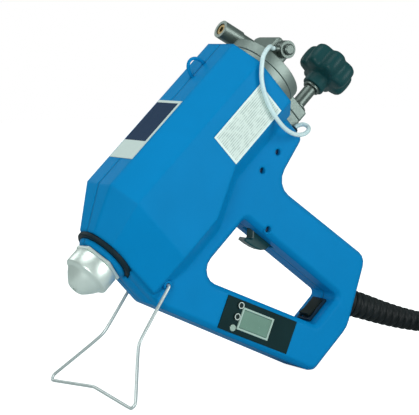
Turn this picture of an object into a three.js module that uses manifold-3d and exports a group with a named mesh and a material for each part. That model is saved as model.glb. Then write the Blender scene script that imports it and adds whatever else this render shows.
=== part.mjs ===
// Hand-held tank applicator for hot-melt glue, standing on its wire stand. Millimetres.
// The tool is built in gun axes: X runs along the barrel towards the lid, Y across the tool and Z away
// from the handle. A "drop" is a distance below the barrel axis, so z = -drop. At the end the gun is
// tilted until the wire foot and the corner of the handle stand on the table.
import * as THREE from "three";
import { mergeVertices } from "three/addons/utils/BufferGeometryUtils.js";
import Module from "manifold-3d";

const wasm = await Module();
wasm.setup();

// Clearances and walls shared by every piece
const gap = 0.3; // between neighbouring pieces
const slide = 0.4; // round a piece that slides or turns
const wall = 3; // casing wall
const rimWall = 4.5; // casing wall round the opening of the D handle

// Nose ring, which sets where the barrel begins
const ringRadius = 28;
const ringBore = 22.6;
const ringThickness = 4.4;
const ringAlong = -98.9;

// Barrel casing, eight-sided in section
const noseFront = ringAlong + ringThickness / 2 + gap;
const noseEnd = -60; // where the nose reaches the full section
const bellyDeepEnd = -14; // the barrel is deeper in front of this station
const bellyShallowStart = 30; // and shallower behind this one
const barrelRear = 110;
const barrelHalf = 40;
const barrelTop = 48.3;
const topFlatHalf = 20;
const shoulder = 27; // height of the corner between side and upper chamfer
const bellyFront = 40; // drop of the corner between side and lower chamfer
const bellyRear = 20.5;
const noseHalf = 25;
const noseTop = 27;
const noseFlatHalf = 12;
const noseShoulder = 12;
const noseBelly = 47;
const collarRadius = 24;
const collarFront = -105.5;
const collarTaper = 2;

// Handle frame: grip, lower arm and base, as corners of [along, drop, radius]
const frameHalf = 22;
const frameEdge = 4; // chamfer along the edges of the frame
const blockFront = -103;
const blockDepth = 55;
const webRear = 106.5;
const gripTop = [58, 75.3, 17]; // the grip's back runs from this corner to the end face
const endFaceTop = [82.5, 197.5, 12];
const endFaceFoot = [23.5, 229.8, 25];
const restCorner = [-31.5, 229.8, 10]; // the corner that stands on the table
const frameOutline = [
  [webRear, 10, 0],
  [webRear, 65, 5],
  gripTop,
  endFaceTop,
  endFaceFoot,
  restCorner,
  [blockFront, blockDepth, 5],
  [blockFront, 12, 0],
  [noseEnd, 5, 0],
];
const restFlat = 0.6; // depth of the flat on that corner
const cheekHalf = 9; // half width of the flat front of the block, between its slanted cheeks
const cheekSide = 25;
const cheekRear = -97.5;
const openingOutline = [
  [14, 72, 4],
  [36, 200, 5],
  [0.5, 200, 3],
  [-55.5, 72, 14],
];

// Casing screws at [along, drop]
const screwPlaces = [
  [77.9, 53.3],
  [55, 53.2],
];
const screwHeadRadius = 2.6;
const screwHeadHeight = 2.1;
const screwRadius = 1.5;
const screwSeat = 16; // distance of the head's seat from the middle plane
const screwReach = 12; // how far the thread goes into the other half
const bossRadius = 4.6;

// Nozzle and the needle valve behind it
const nozzleBack = collarFront - gap;
const hexLength = 3.6;
const hexRadius = 22.5;
const nozzleRim = -124.2;
const nozzleShoulder = [-127.2, 16.4]; // where the cone starts inside the band
const nozzleTip = -138.6;
const nozzleRadius = 21;
const nozzleEdge = 0.8;
const nozzleTipRadius = 8.8;
const nozzleTipEdge = 2.2;
const nozzleBore = 2.2;
const socketEnd = -119;
const holderRadius = 15;
const holderShoulder = 18;
const holderShoulderEnd = -89.5;
const holderSpigot = 8.6;
const chamberRadius = 11;
const chamberEnd = -101;
const needleChannel = 3;
const needleRadius = 1.7;
const needlePoint = 3;
const pistonRadius = 9.5;
const pistonRear = -81;
const pistonThickness = 4;
const needleTip = -116;
const needleSpring = { radius: 7.4, wire: 0.6, turns: 4 };

// Tank, heater, flange and lid
const tankRadius = 28;
const tankWall = 3;
const tankBottom = -70;
const outletRadius = 6;
const mouthRadius = 23;
const heaterFront = -54;
const heaterRear = 94;
const heaterThickness = 2.4;
const sleeveThickness = 3;
const sleeveOverlap = 4;
const sensorLength = 9;
const sensorRadius = 2.4;
const thermostatHalf = 5;
const thermostatHeight = 5.5;
const flangeStart = barrelRear + gap;
const flangeRadius = 35.8;
const flangeThickness = 9.35;
const lidThickness = 10;
const lugHalf = 9.5;
const lugEnd = 58;
const lugRound = 3;
const sealRadius = 28.5;
const sealWidth = 3;
const sealDepth = 2;

// Clamp screw
const spindleDrop = 49;
const spindleStart = 108;
const threadRadius = 4;
const spindleRadius = 5.9;
const spindleDepth = 30; // how far the spindle goes up into the knob
const washerThickness = 1.6;
const washerRadius = 9.5;
const collarRing = { start: 153.1, length: 2.4, radius: 8.2 };
const neckRadius = 10.5;
const neckLength = 10.7;
const knobRadius = 25.5;
const knobHeight = 24.5;
const knobLobes = 7;
const lobeDepth = 4.2;
const lobePoints = 8;
const knobEdge = 3;
const knobSoftEdge = 0.8;

// Air pieces on the lid
const blockHalf = 19;
const blockTop = -18.5;
const blockBottom = 2.5;
const blockHeight = 22;
const blockBevel = 4;
const reliefAcross = 28;
const reliefSetback = 3.55; // of the foot of its axis, from the middle of the block
const reliefStart = -9;
const reliefLean = 19; // degrees towards the nozzle
const reliefBody = { radius: 7.4, length: 17 };
const reliefSleeve = { radius: 8.5, length: 21.5 };
const reliefStem = { radius: 4, along: 5 };
const reliefMouth = { radius: 5.2, depth: 6 };
const seatBore = 2.4;
const seatSink = 0.8;
const fittingSetback = 4.05; // from the middle of the block
const fittingDrop = -8;
const fittingRadius = 8;
const fittingThickness = 8;
const fittingBolt = { radius: 5, height: 3.4, edge: 1.2 };
const spigotRadius = 3.1;
const spigotLength = 12;

// White air tube from the lid, round the lid's edge and back into the web, as
// [back from the barrel's rear end, in from the plane of the near side, drop]
const tubeRadius = 2;
const tubeRoute = [
  [24.9, 16.2, -19.5],
  [23.2, 12.8, -22.8],
  [19.2, 7.6, -26.2],
  [12, 3, -28.2],
  [4, -1.2, -28.4],
  [-4, -3.4, -24],
  [-11.2, -3.4, -16.4],
  [-17.4, -3.4, -5],
  [-21.2, -3.4, 7],
  [-22.8, -3.2, 20],
  [-21.4, -1.2, 33],
  [-16.6, 2.2, 44.6],
  [-10.4, 5.6, 52.4],
  [-3.4, 9.4, 57.6],
  [3.2, 13.8, 60.2],
  [7.2, 19.2, 60.4],
  [7.2, 24, 58],
];
const gland = { drop: 56, across: -12.5, radius: 4, rim: 3, neck: 3, depth: 3.4, bore: 1.5 };

// Trigger and its air valve
const triggerPivot = [23.5, 96];
const triggerRear = 31.5;
const triggerOutline = [
  [5.6, 93.6, 0],
  [7, 100.5, 0],
  [8.9, 107, 0],
  [11.6, 113.2, 4],
  [16, 117.2, 2],
  [28.6, 119.4, 0],
  [triggerRear, 116.6, 0],
  [triggerRear, 94, 2],
  [28.5, 91, 2],
  [22, 91, 0],
  [17.5, 95, 0],
  [12.6, 99.4, 1.5],
  [8.6, 93, 0],
];
const triggerHalf = 5.6;
const triggerBevel = 1;
const triggerSlot = [89.6, 122]; // drops of the slot's ends
const pinRadius = 1.8;
const pinHead = 2.6;
const plungerDrop = 112;
const plungerRadius = 2.2;
const plungerLength = 15;
const valveFront = 41;
const valveTop = 103;
const valveBottom = 121;
const valveHalf = 8;
const valveBore = 13;
const triggerSpring = { radius: 4.2, wire: 0.5, turns: 4 };

// Hoses and wires inside the handle, as [along, across, drop]
const feedHoseRadius = 2;
const feedHoseRoute = [
  [46, 0, 98],
  [44.5, -4, 89],
  [46.5, -9, 77],
  [55, -12, 67.5],
  [70, -12.5, 62.5],
  [88, -12.5, 58.5],
];
const inletHoseRadius = 3;
const inletHoseRoute = [
  [52, 0, 127],
  [55, 0, 145],
  [60, -1, 168],
  [60, -2, 184],
  [51, -4, 195],
  [43.2, -4, 202.5],
];
const loomRadius = 2.5;
const loomRoute = [
  [43, 5, 203.5],
  [47, 8, 199],
  [51, 12.5, 193],
];
const terminal = { along: 52, drop: 181, length: 22, height: 10, width: 10 };

// Display panel on the near side of the lower arm. In panel axes X runs down the arm.
const panelCentre = [-43, 149.7];
const panelTilt = 23.8; // degrees between the arm and a square drop from the barrel
const panelLength = 80;
const panelWidth = 30.4;
const panelThickness = 1;
const panelProud = 0.5; // height of the plate above the casing
const displayAt = [-3.2, -0.2];
const displayLength = 35.6;
const displayWidth = 20.5;
const displayRim = 1.8;
const displayRise = 1.1;
const glassRise = 0.5;
const buttonAt = [
  [-24.7, 10.5],
  [-24.7, 0],
];
const lensAt = [-24.7, -10.6];
const buttonRadius = 3.1;
const buttonRise = 1.3;
const stemEnd = 19.6; // inner end of the buttons, from the middle plane
const boardLength = 64;
const boardWidth = 22;
const boardThickness = 1.6;

// Mains switch on the end wall inside the D handle
const switchAlong = 15.5;
const bezel = { length: 26, width: 19, height: 2.6 };
const rockerHalf = 10;
const rockerWidth = 13.4;
const rockerSwing = 1; // room at each end of the rocker
const rockerTilt = 9; // degrees either way
const rockerPivotRise = 0.8; // pivot above the end wall
const rockerEnd = [1, 4.6]; // lower and upper edge of the rocker's ends, above its pivot
const rockerMiddle = [-0.5, 3];
const switchDepth = 16;

// Wire stand: legs in a plane through the pivot, as [across, out, radius]
const standPivot = [-82.5, 52.2];
const standLean = 12.3; // degrees that the legs drop below the barrel direction
const wireRadius = 1.6;
const wireEnd = 19.6; // inner end of the wire, from the middle plane
const standOutline = [
  [28.6, 0, 2.5],
  [29.3, 57, 20],
  [77.2, 112, 4],
  [0, 104, 30],
];
const bushRadius = 4;
const bushLength = 4.3;

// Hanging eye on top of the barrel
const eye = { along: 77, half: 8.5, rise: 11.8, wire: 1.7, root: 2.4 };

// Labels, sunk a little into the casing
const labelThickness = 0.6;
const labelProud = 0.3;
const sideLabel = { along: 64.2, drop: 3.15, length: 65.5, height: 32.6 };
const topLabel = { along: 4.3, length: 69, width: 38 };

// Supply hose. Routes are [out from the casing, height above the table], in the tool's middle plane.
const exitAlong = 44;
const reliefRoot = 12; // straight length of its middle line inside the casing
const reliefRoute = [
  [22.5, 49.8],
  [46.6, 41.3],
  [71.1, 33.6],
  [93.6, 27.8],
  [104, 25.4],
  [118, 22.2],
];
const reliefLength = 106; // outside the casing
const reliefCuff = { radius: 14.5, length: 7 };
const reliefNeck = { radius: 9, flange: 11, flangeThickness: 2.5 };
const reliefRadii = [12.6, 9.5]; // over the first and the last rib
const ribCount = 12;
const ribGroove = 1.8;
const reliefEdge = 0.5;
const reliefBore = 5.5;
const reliefSides = 12;
const hoseRadius = 7;
const hoseRoute = [
  [112, 23.2],
  [124, 19.1],
  [136, 14.7],
  [148, 10.7],
  [158, 8.2],
];
const coilOut = 172; // coil centre from the exit, along X
const coilLead = 6;
const coilOuter = 79.5;
const coilPitch = 14.8;
const coilRise = 15;
const coilLayerTurns = 1.5;
const coilClimbTurns = 0.5;
const coilLastTurns = 0.53;
const coilTail = 24;
const coilSteps = 24; // for each turn
const connector = { radius: 10, length: 46, nose: 7, noseRadius: 8 };
const connectorRing = { radius: 11.5, length: 16, from: 12 };

// Finishes
const finishes = {
  casing: { color: 0x0a7fc0, roughness: 0.5, metalness: 0 },
  rubber: { color: 0x16191b, roughness: 0.8, metalness: 0 },
  plastic: { color: 0x1b2a2e, roughness: 0.55, metalness: 0 },
  aluminium: { color: 0xa7b0ad, roughness: 0.35, metalness: 1 },
  cast: { color: 0x8d9692, roughness: 0.5, metalness: 1 },
  steel: { color: 0xa9b1b0, roughness: 0.25, metalness: 1 },
  brass: { color: 0xb08d4a, roughness: 0.3, metalness: 1 },
  tube: { color: 0xcfe6ea, roughness: 0.4, metalness: 0 },
  label: { color: 0xc8dcd8, roughness: 0.6, metalness: 0 },
  panel: { color: 0x0e1c22, roughness: 0.4, metalness: 0 },
  display: { color: 0xa9c0b4, roughness: 0.15, metalness: 0 },
  board: { color: 0x1f5a3c, roughness: 0.6, metalness: 0 },
  wool: { color: 0xd8d4c6, roughness: 0.95, metalness: 0 },
  lens: { color: 0xa9c2b6, roughness: 0.3, metalness: 0 },
};

// Closed solids from three.js geometry
function solid(geometry) {
  const bare = geometry.clone();
  bare.deleteAttribute("normal");
  bare.deleteAttribute("uv");
  const merged = mergeVertices(bare, 1e-4);
  const corners = merged.attributes.position;
  const faces = [];
  for (let i = 0; i < merged.index.count; i += 3) {
    const face = [0, 1, 2].map((k) => merged.index.getX(i + k));
    if (new Set(face).size === 3) faces.push(face);
  }
  const [a, b, c] = [new THREE.Vector3(), new THREE.Vector3(), new THREE.Vector3()];
  const volume = faces.reduce((sum, [p, q, r]) => {
    a.fromBufferAttribute(corners, p);
    b.fromBufferAttribute(corners, q);
    c.fromBufferAttribute(corners, r);
    return sum + a.dot(b.cross(c));
  }, 0);
  const outward = volume < 0 ? faces.map(([p, q, r]) => [r, q, p]) : faces;
  const vertProperties = Float32Array.from(corners.array);
  const triVerts = Uint32Array.from(outward.flat());
  return new wasm.Manifold(new wasm.Mesh({ numProp: 3, vertProperties, triVerts }));
}

function geometryOf(body) {
  const mesh = body.getMesh();
  const geometry = new THREE.BufferGeometry();
  geometry.setAttribute("position", new THREE.BufferAttribute(mesh.vertProperties, 3));
  geometry.setIndex(new THREE.BufferAttribute(mesh.triVerts, 1));
  geometry.computeVertexNormals();
  return geometry;
}

const joined = (first, ...others) => others.reduce((all, next) => all.add(next), first);
const cutBy = (first, ...others) => others.reduce((all, next) => all.subtract(next), first);

// A box between two corners, each given as [along, across, up]
function box(low, high) {
  const size = high.map((value, i) => value - low[i]);
  const geometry = new THREE.BoxGeometry(...size);
  return geometry.translate(...low.map((value, i) => value + size[i] / 2));
}

// A turned piece on the X axis, from [along, radius] pairs
function turned(profile, segments = 32) {
  const points = profile.map(([along, radius]) => new THREE.Vector2(radius, along));
  return new THREE.LatheGeometry(points, segments).rotateZ(-Math.PI / 2);
}

const rod = (start, end, radius, segments = 24) =>
  turned([[start, 0], [start, radius], [end, radius], [end, 0]], segments);

const ring = (start, end, outer, inner, segments = 32) =>
  turned([[start, inner], [start, outer], [end, outer], [end, inner], [start, inner]], segments);

// Turns a piece on the X axis to run across the tool through [along, drop]
const across = (geometry, [along, drop]) =>
  geometry.rotateZ(Math.PI / 2).translate(along, 0, -drop);

const crossRod = (place, low, high, radius, segments = 20) =>
  across(rod(low, high, radius, segments), place);

// Corners of [position, drop, radius] as an outline with round corners, moved inwards by a distance
const roundStep = THREE.MathUtils.degToRad(22.5);
const leastRound = 0.4;
function outline(corners, distance = 0) {
  const points = corners.map(([position, drop]) => new THREE.Vector2(position, -drop));
  const sense = Math.sign(THREE.ShapeUtils.area(points));
  return corners.flatMap(([, , radius], i) => {
    const back = points.at(i - 1).clone().sub(points[i]).normalize();
    const ahead = points[(i + 1) % points.length].clone().sub(points[i]).normalize();
    const bisector = back.clone().add(ahead).normalize();
    const half = Math.acos(THREE.MathUtils.clamp(back.dot(ahead), -1, 1)) / 2;
    const outerCorner = Math.sign(ahead.cross(back)) === sense;
    const shift = (outerCorner ? distance : -distance) / Math.sin(half);
    const corner = points[i].clone().addScaledVector(bisector, shift);
    if (!radius) return [corner];
    const wanted = outerCorner ? radius - distance : radius + distance;
    const round = Math.max(wanted, leastRound);
    const centre = corner.clone().addScaledVector(bisector, round / Math.sin(half));
    const first = back.multiplyScalar(round / Math.tan(half)).add(corner).sub(centre);
    const turn = Math.PI - 2 * half;
    const steps = Math.max(2, Math.round(turn / roundStep));
    const direction = outerCorner ? sense : -sense;
    return Array.from({ length: steps + 1 }, (_, step) =>
      first.clone().rotateAround(new THREE.Vector2(), (direction * turn * step) / steps).add(centre));
  });
}

// A closed skin through rings with equal numbers of points, capped at both ends
function loft(rings, flat) {
  const count = rings[0].length;
  const index = [];
  for (let start = 0; start < (rings.length - 1) * count; start += count) {
    for (let i = 0; i < count; i++) {
      const [p, q] = [start + i, start + ((i + 1) % count)];
      index.push(p, q, q + count, p, q + count, p + count);
    }
  }
  const last = (rings.length - 1) * count;
  const sense = THREE.ShapeUtils.area(rings[0].map(flat));
  [[0, -sense], [last, sense]].forEach(([start, facing]) => {
    const points = rings[start / count].map(flat);
    THREE.ShapeUtils.triangulateShape(points, []).forEach((face) => {
      const area = THREE.ShapeUtils.area(face.map((i) => points[i]));
      const ordered = area * facing > 0 ? face : [...face].reverse();
      index.push(...ordered.map((i) => start + i));
    });
  });
  const geometry = new THREE.BufferGeometry();
  const positions = rings.flat().flatMap((point) => point.toArray());
  geometry.setAttribute("position", new THREE.Float32BufferAttribute(positions, 3));
  geometry.setIndex(index);
  return geometry;
}

// Side outlines lofted across the tool, through levels of [across, outline]
const acrossLoft = (levels) => loft(
  levels.map(([y, points]) => points.map((point) => new THREE.Vector3(point.x, y, point.y))),
  (point) => new THREE.Vector2(point.x, point.z));

// Cross-sections lofted along the barrel, through levels of [along, outline]
const alongLoft = (levels) => loft(
  levels.map(([x, points]) => points.map((point) => new THREE.Vector3(x, point.x, point.y))),
  (point) => new THREE.Vector2(point.y, point.z));

// Tubes: a many-sided section swept along a curve, or from point to point
function sweep(path, radius, sides, steps) {
  const section = new THREE.Shape(Array.from({ length: sides }, (_, i) => {
    const angle = (2 * Math.PI * (i + 0.5)) / sides;
    return new THREE.Vector2(radius * Math.cos(angle), radius * Math.sin(angle));
  }));
  return new THREE.ExtrudeGeometry(section, { steps, extrudePath: path, bevelEnabled: false });
}

class PointPath extends THREE.Curve {
  constructor(points) {
    super();
    this.points = points;
  }

  getPointAt(u, target = new THREE.Vector3()) {
    return target.copy(this.points[Math.round(u * (this.points.length - 1))]);
  }

  getTangentAt(u, target = new THREE.Vector3()) {
    const last = this.points.length - 1;
    const i = Math.round(u * last);
    const [before, after] = [this.points[Math.max(i - 1, 0)], this.points[Math.min(i + 1, last)]];
    return target.copy(after).sub(before).normalize();
  }
}
const wire = (points, radius, sides) =>
  sweep(new PointPath(points), radius, sides, points.length - 1);
const at = ([along, y, drop]) => new THREE.Vector3(along, y, -drop);
const smooth = (points) => new THREE.CatmullRomCurve3(points, false, "centripetal");

// Least gap between the turns of a tube, measured on points of its middle line
function reportLeastGap(name, curve, radius, steps) {
  const points = curve.getSpacedPoints(steps);
  const apart = Math.ceil((8 * radius * steps) / curve.getLength());
  let least = Infinity;
  for (let i = 0; i < points.length; i++) {
    for (let j = i + apart; j < points.length; j++) {
      least = Math.min(least, points[i].distanceTo(points[j]));
    }
  }
  console.log(`${name}: least gap to itself ${(least - 2 * radius).toFixed(2)} mm`);
}

// A helical spring along X
class SpringCurve extends THREE.Curve {
  constructor(start, end, radius, turns) {
    super();
    Object.assign(this, { start, end, radius, turns, arcLengthDivisions: 60 * turns });
  }

  getPoint(t, target = new THREE.Vector3()) {
    const angle = 2 * Math.PI * this.turns * t;
    const x = THREE.MathUtils.lerp(this.start, this.end, t);
    return target.set(x, this.radius * Math.cos(angle), this.radius * Math.sin(angle));
  }
}

function springBody(name, start, end, { radius, wire: thickness, turns }) {
  const curve = new SpringCurve(start + thickness, end - thickness, radius, turns);
  reportLeastGap(name, curve, thickness, 32 * turns);
  return solid(sweep(curve, thickness, 5, 8 * turns));
}

// Groups: the whole object, the gun, and the panel on its lower arm
const applicator = new THREE.Group();
const gun = new THREE.Group();
const panel = new THREE.Group();
applicator.add(gun);
gun.add(panel);
const toRadians = THREE.MathUtils.degToRad;
panel.position.set(panelCentre[0], 0, -panelCentre[1]);
panel.rotation.y = toRadians(90 - panelTilt);
panel.updateMatrix();

function add(name, body, finish, parent = gun) {
  const material = new THREE.MeshStandardMaterial(finishes[finish]);
  const mesh = new THREE.Mesh(geometryOf(body), material);
  mesh.name = name;
  parent.add(mesh);
  return mesh;
}

// Middle line of the stand, in the plane of its legs: x runs out from the pivot and y across
const [standLeg, standBend, standCorner, standKink] = standOutline;
const standLine = outline([
  [wireEnd, 0, 0], standLeg, standBend, standCorner, standKink,
  ...[standCorner, standBend, standLeg, [wireEnd, 0, 0]].map(([y, out, radius]) => [-y, out, radius]),
]).map((point) => new THREE.Vector3(-point.y, point.x, 0));

// Rest pose: the tilt that brings the foot wire and the flat on the handle's corner to one level
function centreOfRound(corners, round) {
  const i = corners.indexOf(round);
  const [corner, before, after] = [i, i - 1, i + 1].map(
    (k) => new THREE.Vector2(corners[k][0], -corners[k][1]));
  const [back, ahead] = [before, after].map((end) => end.sub(corner).normalize());
  const half = Math.acos(back.dot(ahead)) / 2;
  return corner.addScaledVector(back.add(ahead).normalize(), round[2] / Math.sin(half));
}
const lean = toRadians(standLean);
const legDirection = new THREE.Vector2(-Math.cos(lean), -Math.sin(lean));
const pivot = new THREE.Vector2(standPivot[0], -standPivot[1]);
const footOut = Math.max(...standLine.map((point) => point.x));
const footCentre = pivot.clone().addScaledVector(legDirection, footOut);
const restCentre = centreOfRound(frameOutline, restCorner);
const restHeight = restCorner[2] - restFlat; // from the flat to the centre of the round
const span = footCentre.clone().sub(restCentre);
const restTilt = Math.PI - span.angle() + Math.asin((restHeight - wireRadius) / span.length());

// The space below the table, in gun axes
function belowTable() {
  const size = 600;
  const geometry = new THREE.BoxGeometry(size, size, size).translate(0, 0, -size / 2 - restHeight);
  return solid(geometry.rotateY(restTilt).translate(restCentre.x, 0, restCentre.y));
}

// Casing: the outer form less its inside, with a solid collar at the nose
function barrelSection(half, top, flatHalf, shoulderUp, belly, thickness) {
  const keel = belly + half - frameHalf;
  return outline([
    [flatHalf, -top, 0], [half, -shoulderUp, 0], [half, belly, 0], [frameHalf, keel, 0],
    [-frameHalf, keel, 0], [-half, belly, 0], [-half, -shoulderUp, 0], [-flatHalf, -top, 0],
  ], thickness);
}

function barrel(thickness) {
  const full = (along, belly) =>
    [along, barrelSection(barrelHalf, barrelTop, topFlatHalf, shoulder, belly, thickness)];
  const nose = barrelSection(noseHalf, noseTop, noseFlatHalf, noseShoulder, noseBelly, thickness);
  return solid(alongLoft([
    [noseFront + thickness, nose],
    full(noseEnd, bellyFront),
    full(bellyDeepEnd, bellyFront),
    full(bellyShallowStart, bellyRear),
    full(barrelRear - thickness, bellyRear),
  ]));
}

function frame(thickness) {
  const half = frameHalf - thickness;
  const [edge, side] = [thickness + frameEdge, thickness].map((d) => outline(frameOutline, d));
  return solid(acrossLoft([
    [-half, edge], [frameEdge - half, side], [half - frameEdge, side], [half, edge],
  ]));
}

function handleOpening() {
  const straight = frameHalf - frameEdge;
  const reach = frameHalf + frameEdge;
  const [edge, middle] = [-2 * frameEdge, 0].map((d) => outline(openingOutline, d));
  return solid(acrossLoft([
    [-reach, edge], [-straight, middle], [straight, middle], [reach, edge],
  ]));
}

function cheek(side) {
  const front = blockFront - 10;
  const plan = [[front, cheekHalf], [blockFront, cheekHalf], [cheekRear, cheekSide], [front, cheekSide]];
  const rings = [-blockDepth - 10, 0].map(
    (z) => plan.map(([x, y]) => new THREE.Vector3(x, side * y, z)));
  return solid(loft(rings, (point) => new THREE.Vector2(point.x, point.y)));
}

function casing() {
  const outer = cutBy(
    joined(cutBy(frame(0), cheek(1), cheek(-1)), barrel(0)), handleOpening(), belowTable());
  const rim = outline(openingOutline, -rimWall);
  const rimBody = solid(acrossLoft([[-frameHalf, rim], [frameHalf, rim]]));
  const collar = solid(turned([
    [collarFront, 0], [collarFront, collarRadius - collarTaper], [collarFront + wall, collarRadius],
    [noseFront + wall, collarRadius], [noseFront + wall, 0],
  ], 32));
  return outer.subtract(joined(barrel(wall), frame(wall)).subtract(rimBody)).add(collar);
}

// Where the supply hose leaves through the sloping end face of the base
const [endTop, endBottom] = [endFaceTop, endFaceFoot].map(
  ([along, drop]) => new THREE.Vector2(along, -drop));
const endFaceSlope = endBottom.clone().sub(endTop);
const exitPoint = endTop.clone().addScaledVector(
  endFaceSlope, (exitAlong - endTop.x) / endFaceSlope.x);
const exitNormal = new THREE.Vector2(-endFaceSlope.y, endFaceSlope.x).normalize();

const lineAt = ([[x0, d0], [x1, d1]], drop) => x0 + ((drop - d0) * (x1 - x0)) / (d1 - d0);
const gripBackAt = (drop) => lineAt([gripTop, endFaceTop], drop);
const endWallDrop = openingOutline[1][1];
const panelFace = frameHalf + panelProud;
const plateBack = panelFace - panelThickness;
const labelSink = labelThickness - labelProud + gap;
const windowHalf = rockerHalf + rockerSwing;
const onPanel = (geometry) => geometry.applyMatrix4(panel.matrix);

// A rod through the near side of the panel, between two distances from the middle plane
function panelRod([along, up], from, to, radius) {
  return across(rod(-to, -from, radius, 20), [0, 0]).translate(along, 0, up);
}

// Cuts that both halves share
function sharedCuts() {
  const trigger = box(
    [triggerOutline[0][0], -triggerHalf - slide, -triggerSlot[1]],
    [triggerRear + gap, triggerHalf + slide, -triggerSlot[0]]);
  const switchHole = box(
    [switchAlong - windowHalf - gap, -rockerWidth / 2 - 2 * gap, -endWallDrop - rimWall - 1],
    [switchAlong + windowHalf + gap, rockerWidth / 2 + 2 * gap, -endWallDrop + 1]);
  const exitHole = rod(-2 * wall, wall, reliefNeck.radius + gap)
    .rotateY(-exitNormal.angle()).translate(exitPoint.x, 0, exitPoint.y);
  const sockets = [-1, 1].map((end) => solid(
    rod(-wall - 1, 1, eye.wire + gap, 12).rotateY(-Math.PI / 2)
      .translate(eye.along + end * eye.half, 0, barrelTop)));
  const label = box(
    [topLabel.along - topLabel.length / 2 - gap, -topLabel.width / 2 - gap, barrelTop - labelSink],
    [topLabel.along + topLabel.length / 2 + gap, topLabel.width / 2 + gap, barrelTop + 1]);
  return [
    solid(rod(collarFront - 1, noseFront + wall + 1, holderRadius + gap)),
    solid(ring(ringAlong - ringThickness / 2 - gap, noseFront, ringRadius + gap, ringBore - gap, 32)),
    solid(rod(barrelRear - wall - 1, barrelRear + 1, tankRadius + slide, 32)),
    solid(crossRod(standPivot, frameHalf, barrelHalf + 2, bushRadius + gap)),
    solid(crossRod(standPivot, -barrelHalf - 2, -frameHalf, bushRadius + gap)),
    solid(crossRod(standPivot, -frameHalf - 1, frameHalf + 1, wireRadius + gap)),
    solid(trigger),
    solid(switchHole),
    solid(exitHole),
    ...sockets,
    solid(label),
  ];
}

// Cuts in the near half only: screw heads, label, panel, buttons and tube gland
function nearCuts() {
  const heads = [...screwPlaces.map((place) => [place, screwHeadRadius]), [triggerPivot, pinHead]]
    .map(([place, radius]) => solid(crossRod(place, -frameHalf - 1, -screwSeat, radius + gap)));
  const label = box(
    [sideLabel.along - sideLabel.length / 2 - gap, -barrelHalf - 1,
      -sideLabel.drop - sideLabel.height / 2 - gap],
    [sideLabel.along + sideLabel.length / 2 + gap, -barrelHalf + labelSink,
      -sideLabel.drop + sideLabel.height / 2 + gap]);
  const plate = box(
    [-panelLength / 2 - gap, -frameHalf - 1, -panelWidth / 2 - gap],
    [panelLength / 2 + gap, gap - plateBack, panelWidth / 2 + gap]);
  const keys = [...buttonAt, lensAt].map((place) =>
    solid(onPanel(panelRod(place, frameHalf - wall - 1, frameHalf + 1, buttonRadius + gap))));
  const glandHole = rod(-2 * wall, 1, gland.neck + gap, 16)
    .translate(webRear, gland.across, -gland.drop);
  return [...heads, solid(label), solid(onPanel(plate)), ...keys, solid(glandHole)];
}

function casingHalf(side) {
  const between = (from, to) => (side > 0 ? [from, to] : [-to, -from]);
  const reach = 300;
  const [low, high] = between(gap / 2, reach);
  const keep = solid(box([-reach, low, -reach], [reach, high, reach]));
  const bosses = screwPlaces.map(
    (place) => solid(crossRod(place, ...between(gap / 2, frameHalf - 1), bossRadius, 16)));
  const pinBoss = solid(
    crossRod(triggerPivot, ...between(triggerHalf + slide, frameHalf - 1), bossRadius, 16));
  const holes = [
    ...screwPlaces.map(
      (place) => solid(crossRod(place, -frameHalf, screwReach + 1, screwRadius + gap))),
    solid(crossRod(triggerPivot, -frameHalf, screwSeat + 1, pinRadius + gap)),
  ];
  const shell = joined(casing().intersect(keep), ...bosses, pinBoss);
  return cutBy(shell, ...holes, ...sharedCuts(), ...(side < 0 ? nearCuts() : []));
}
add("housing_left", casingHalf(-1), "casing");
add("housing_right", casingHalf(1), "casing");

screwPlaces.forEach(([along, drop], i) => {
  const screw = joined(
    solid(rod(0, screwHeadHeight, screwHeadRadius, 16)),
    solid(rod(-screwSeat - screwReach, screwHeadHeight / 2, screwRadius, 12)));
  const mesh = add(`housing_screw_${i + 1}`, screw, "steel");
  mesh.rotation.z = -Math.PI / 2;
  mesh.position.set(along, -screwSeat - gap, -drop);
});

// Nose: rubber ring, nozzle, needle valve
add("nose_ring", solid(ring(
  ringAlong - ringThickness / 2, ringAlong + ringThickness / 2, ringRadius, ringBore, 32)), "rubber");

const hexFlange = solid(rod(nozzleBack - hexLength, nozzleBack, hexRadius, 6));
const nozzleBody = solid(turned([
  [nozzleTip, 0], [nozzleTip, nozzleTipRadius / 2],
  [nozzleTip + nozzleTipEdge, nozzleTipRadius], nozzleShoulder, [nozzleRim, nozzleRadius - nozzleEdge],
  [nozzleRim + nozzleEdge, nozzleRadius], [nozzleBack - 1, nozzleRadius], [nozzleBack - 1, 0],
], 32));
add("nozzle", cutBy(joined(nozzleBody, hexFlange),
  solid(rod(nozzleTip - 1, nozzleBack + 1, nozzleBore, 12)),
  solid(rod(socketEnd, nozzleBack + 1, holderSpigot + gap))), "aluminium");

const holderRear = tankBottom - gap;
const holderFront = nozzleBack + gap;
add("nozzle_holder", solid(turned([
  [holderRear, chamberRadius], [holderRear, holderShoulder], [holderShoulderEnd, holderShoulder],
  [holderShoulderEnd, holderRadius], [holderFront, holderRadius], [holderFront, holderSpigot],
  [socketEnd + 1, holderSpigot], [socketEnd + 1, needleChannel], [chamberEnd, needleChannel],
  [chamberEnd, chamberRadius], [holderRear, chamberRadius],
])), "steel");
add("shutoff_needle", solid(turned([
  [needleTip, 0], [needleTip + needlePoint, needleRadius],
  [pistonRear - pistonThickness, needleRadius], [pistonRear - pistonThickness, pistonRadius],
  [pistonRear, pistonRadius], [pistonRear, 0],
], 20)), "steel");
add("needle_spring", springBody(
  "needle_spring", pistonRear + gap, tankBottom - gap, needleSpring), "steel");

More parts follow.
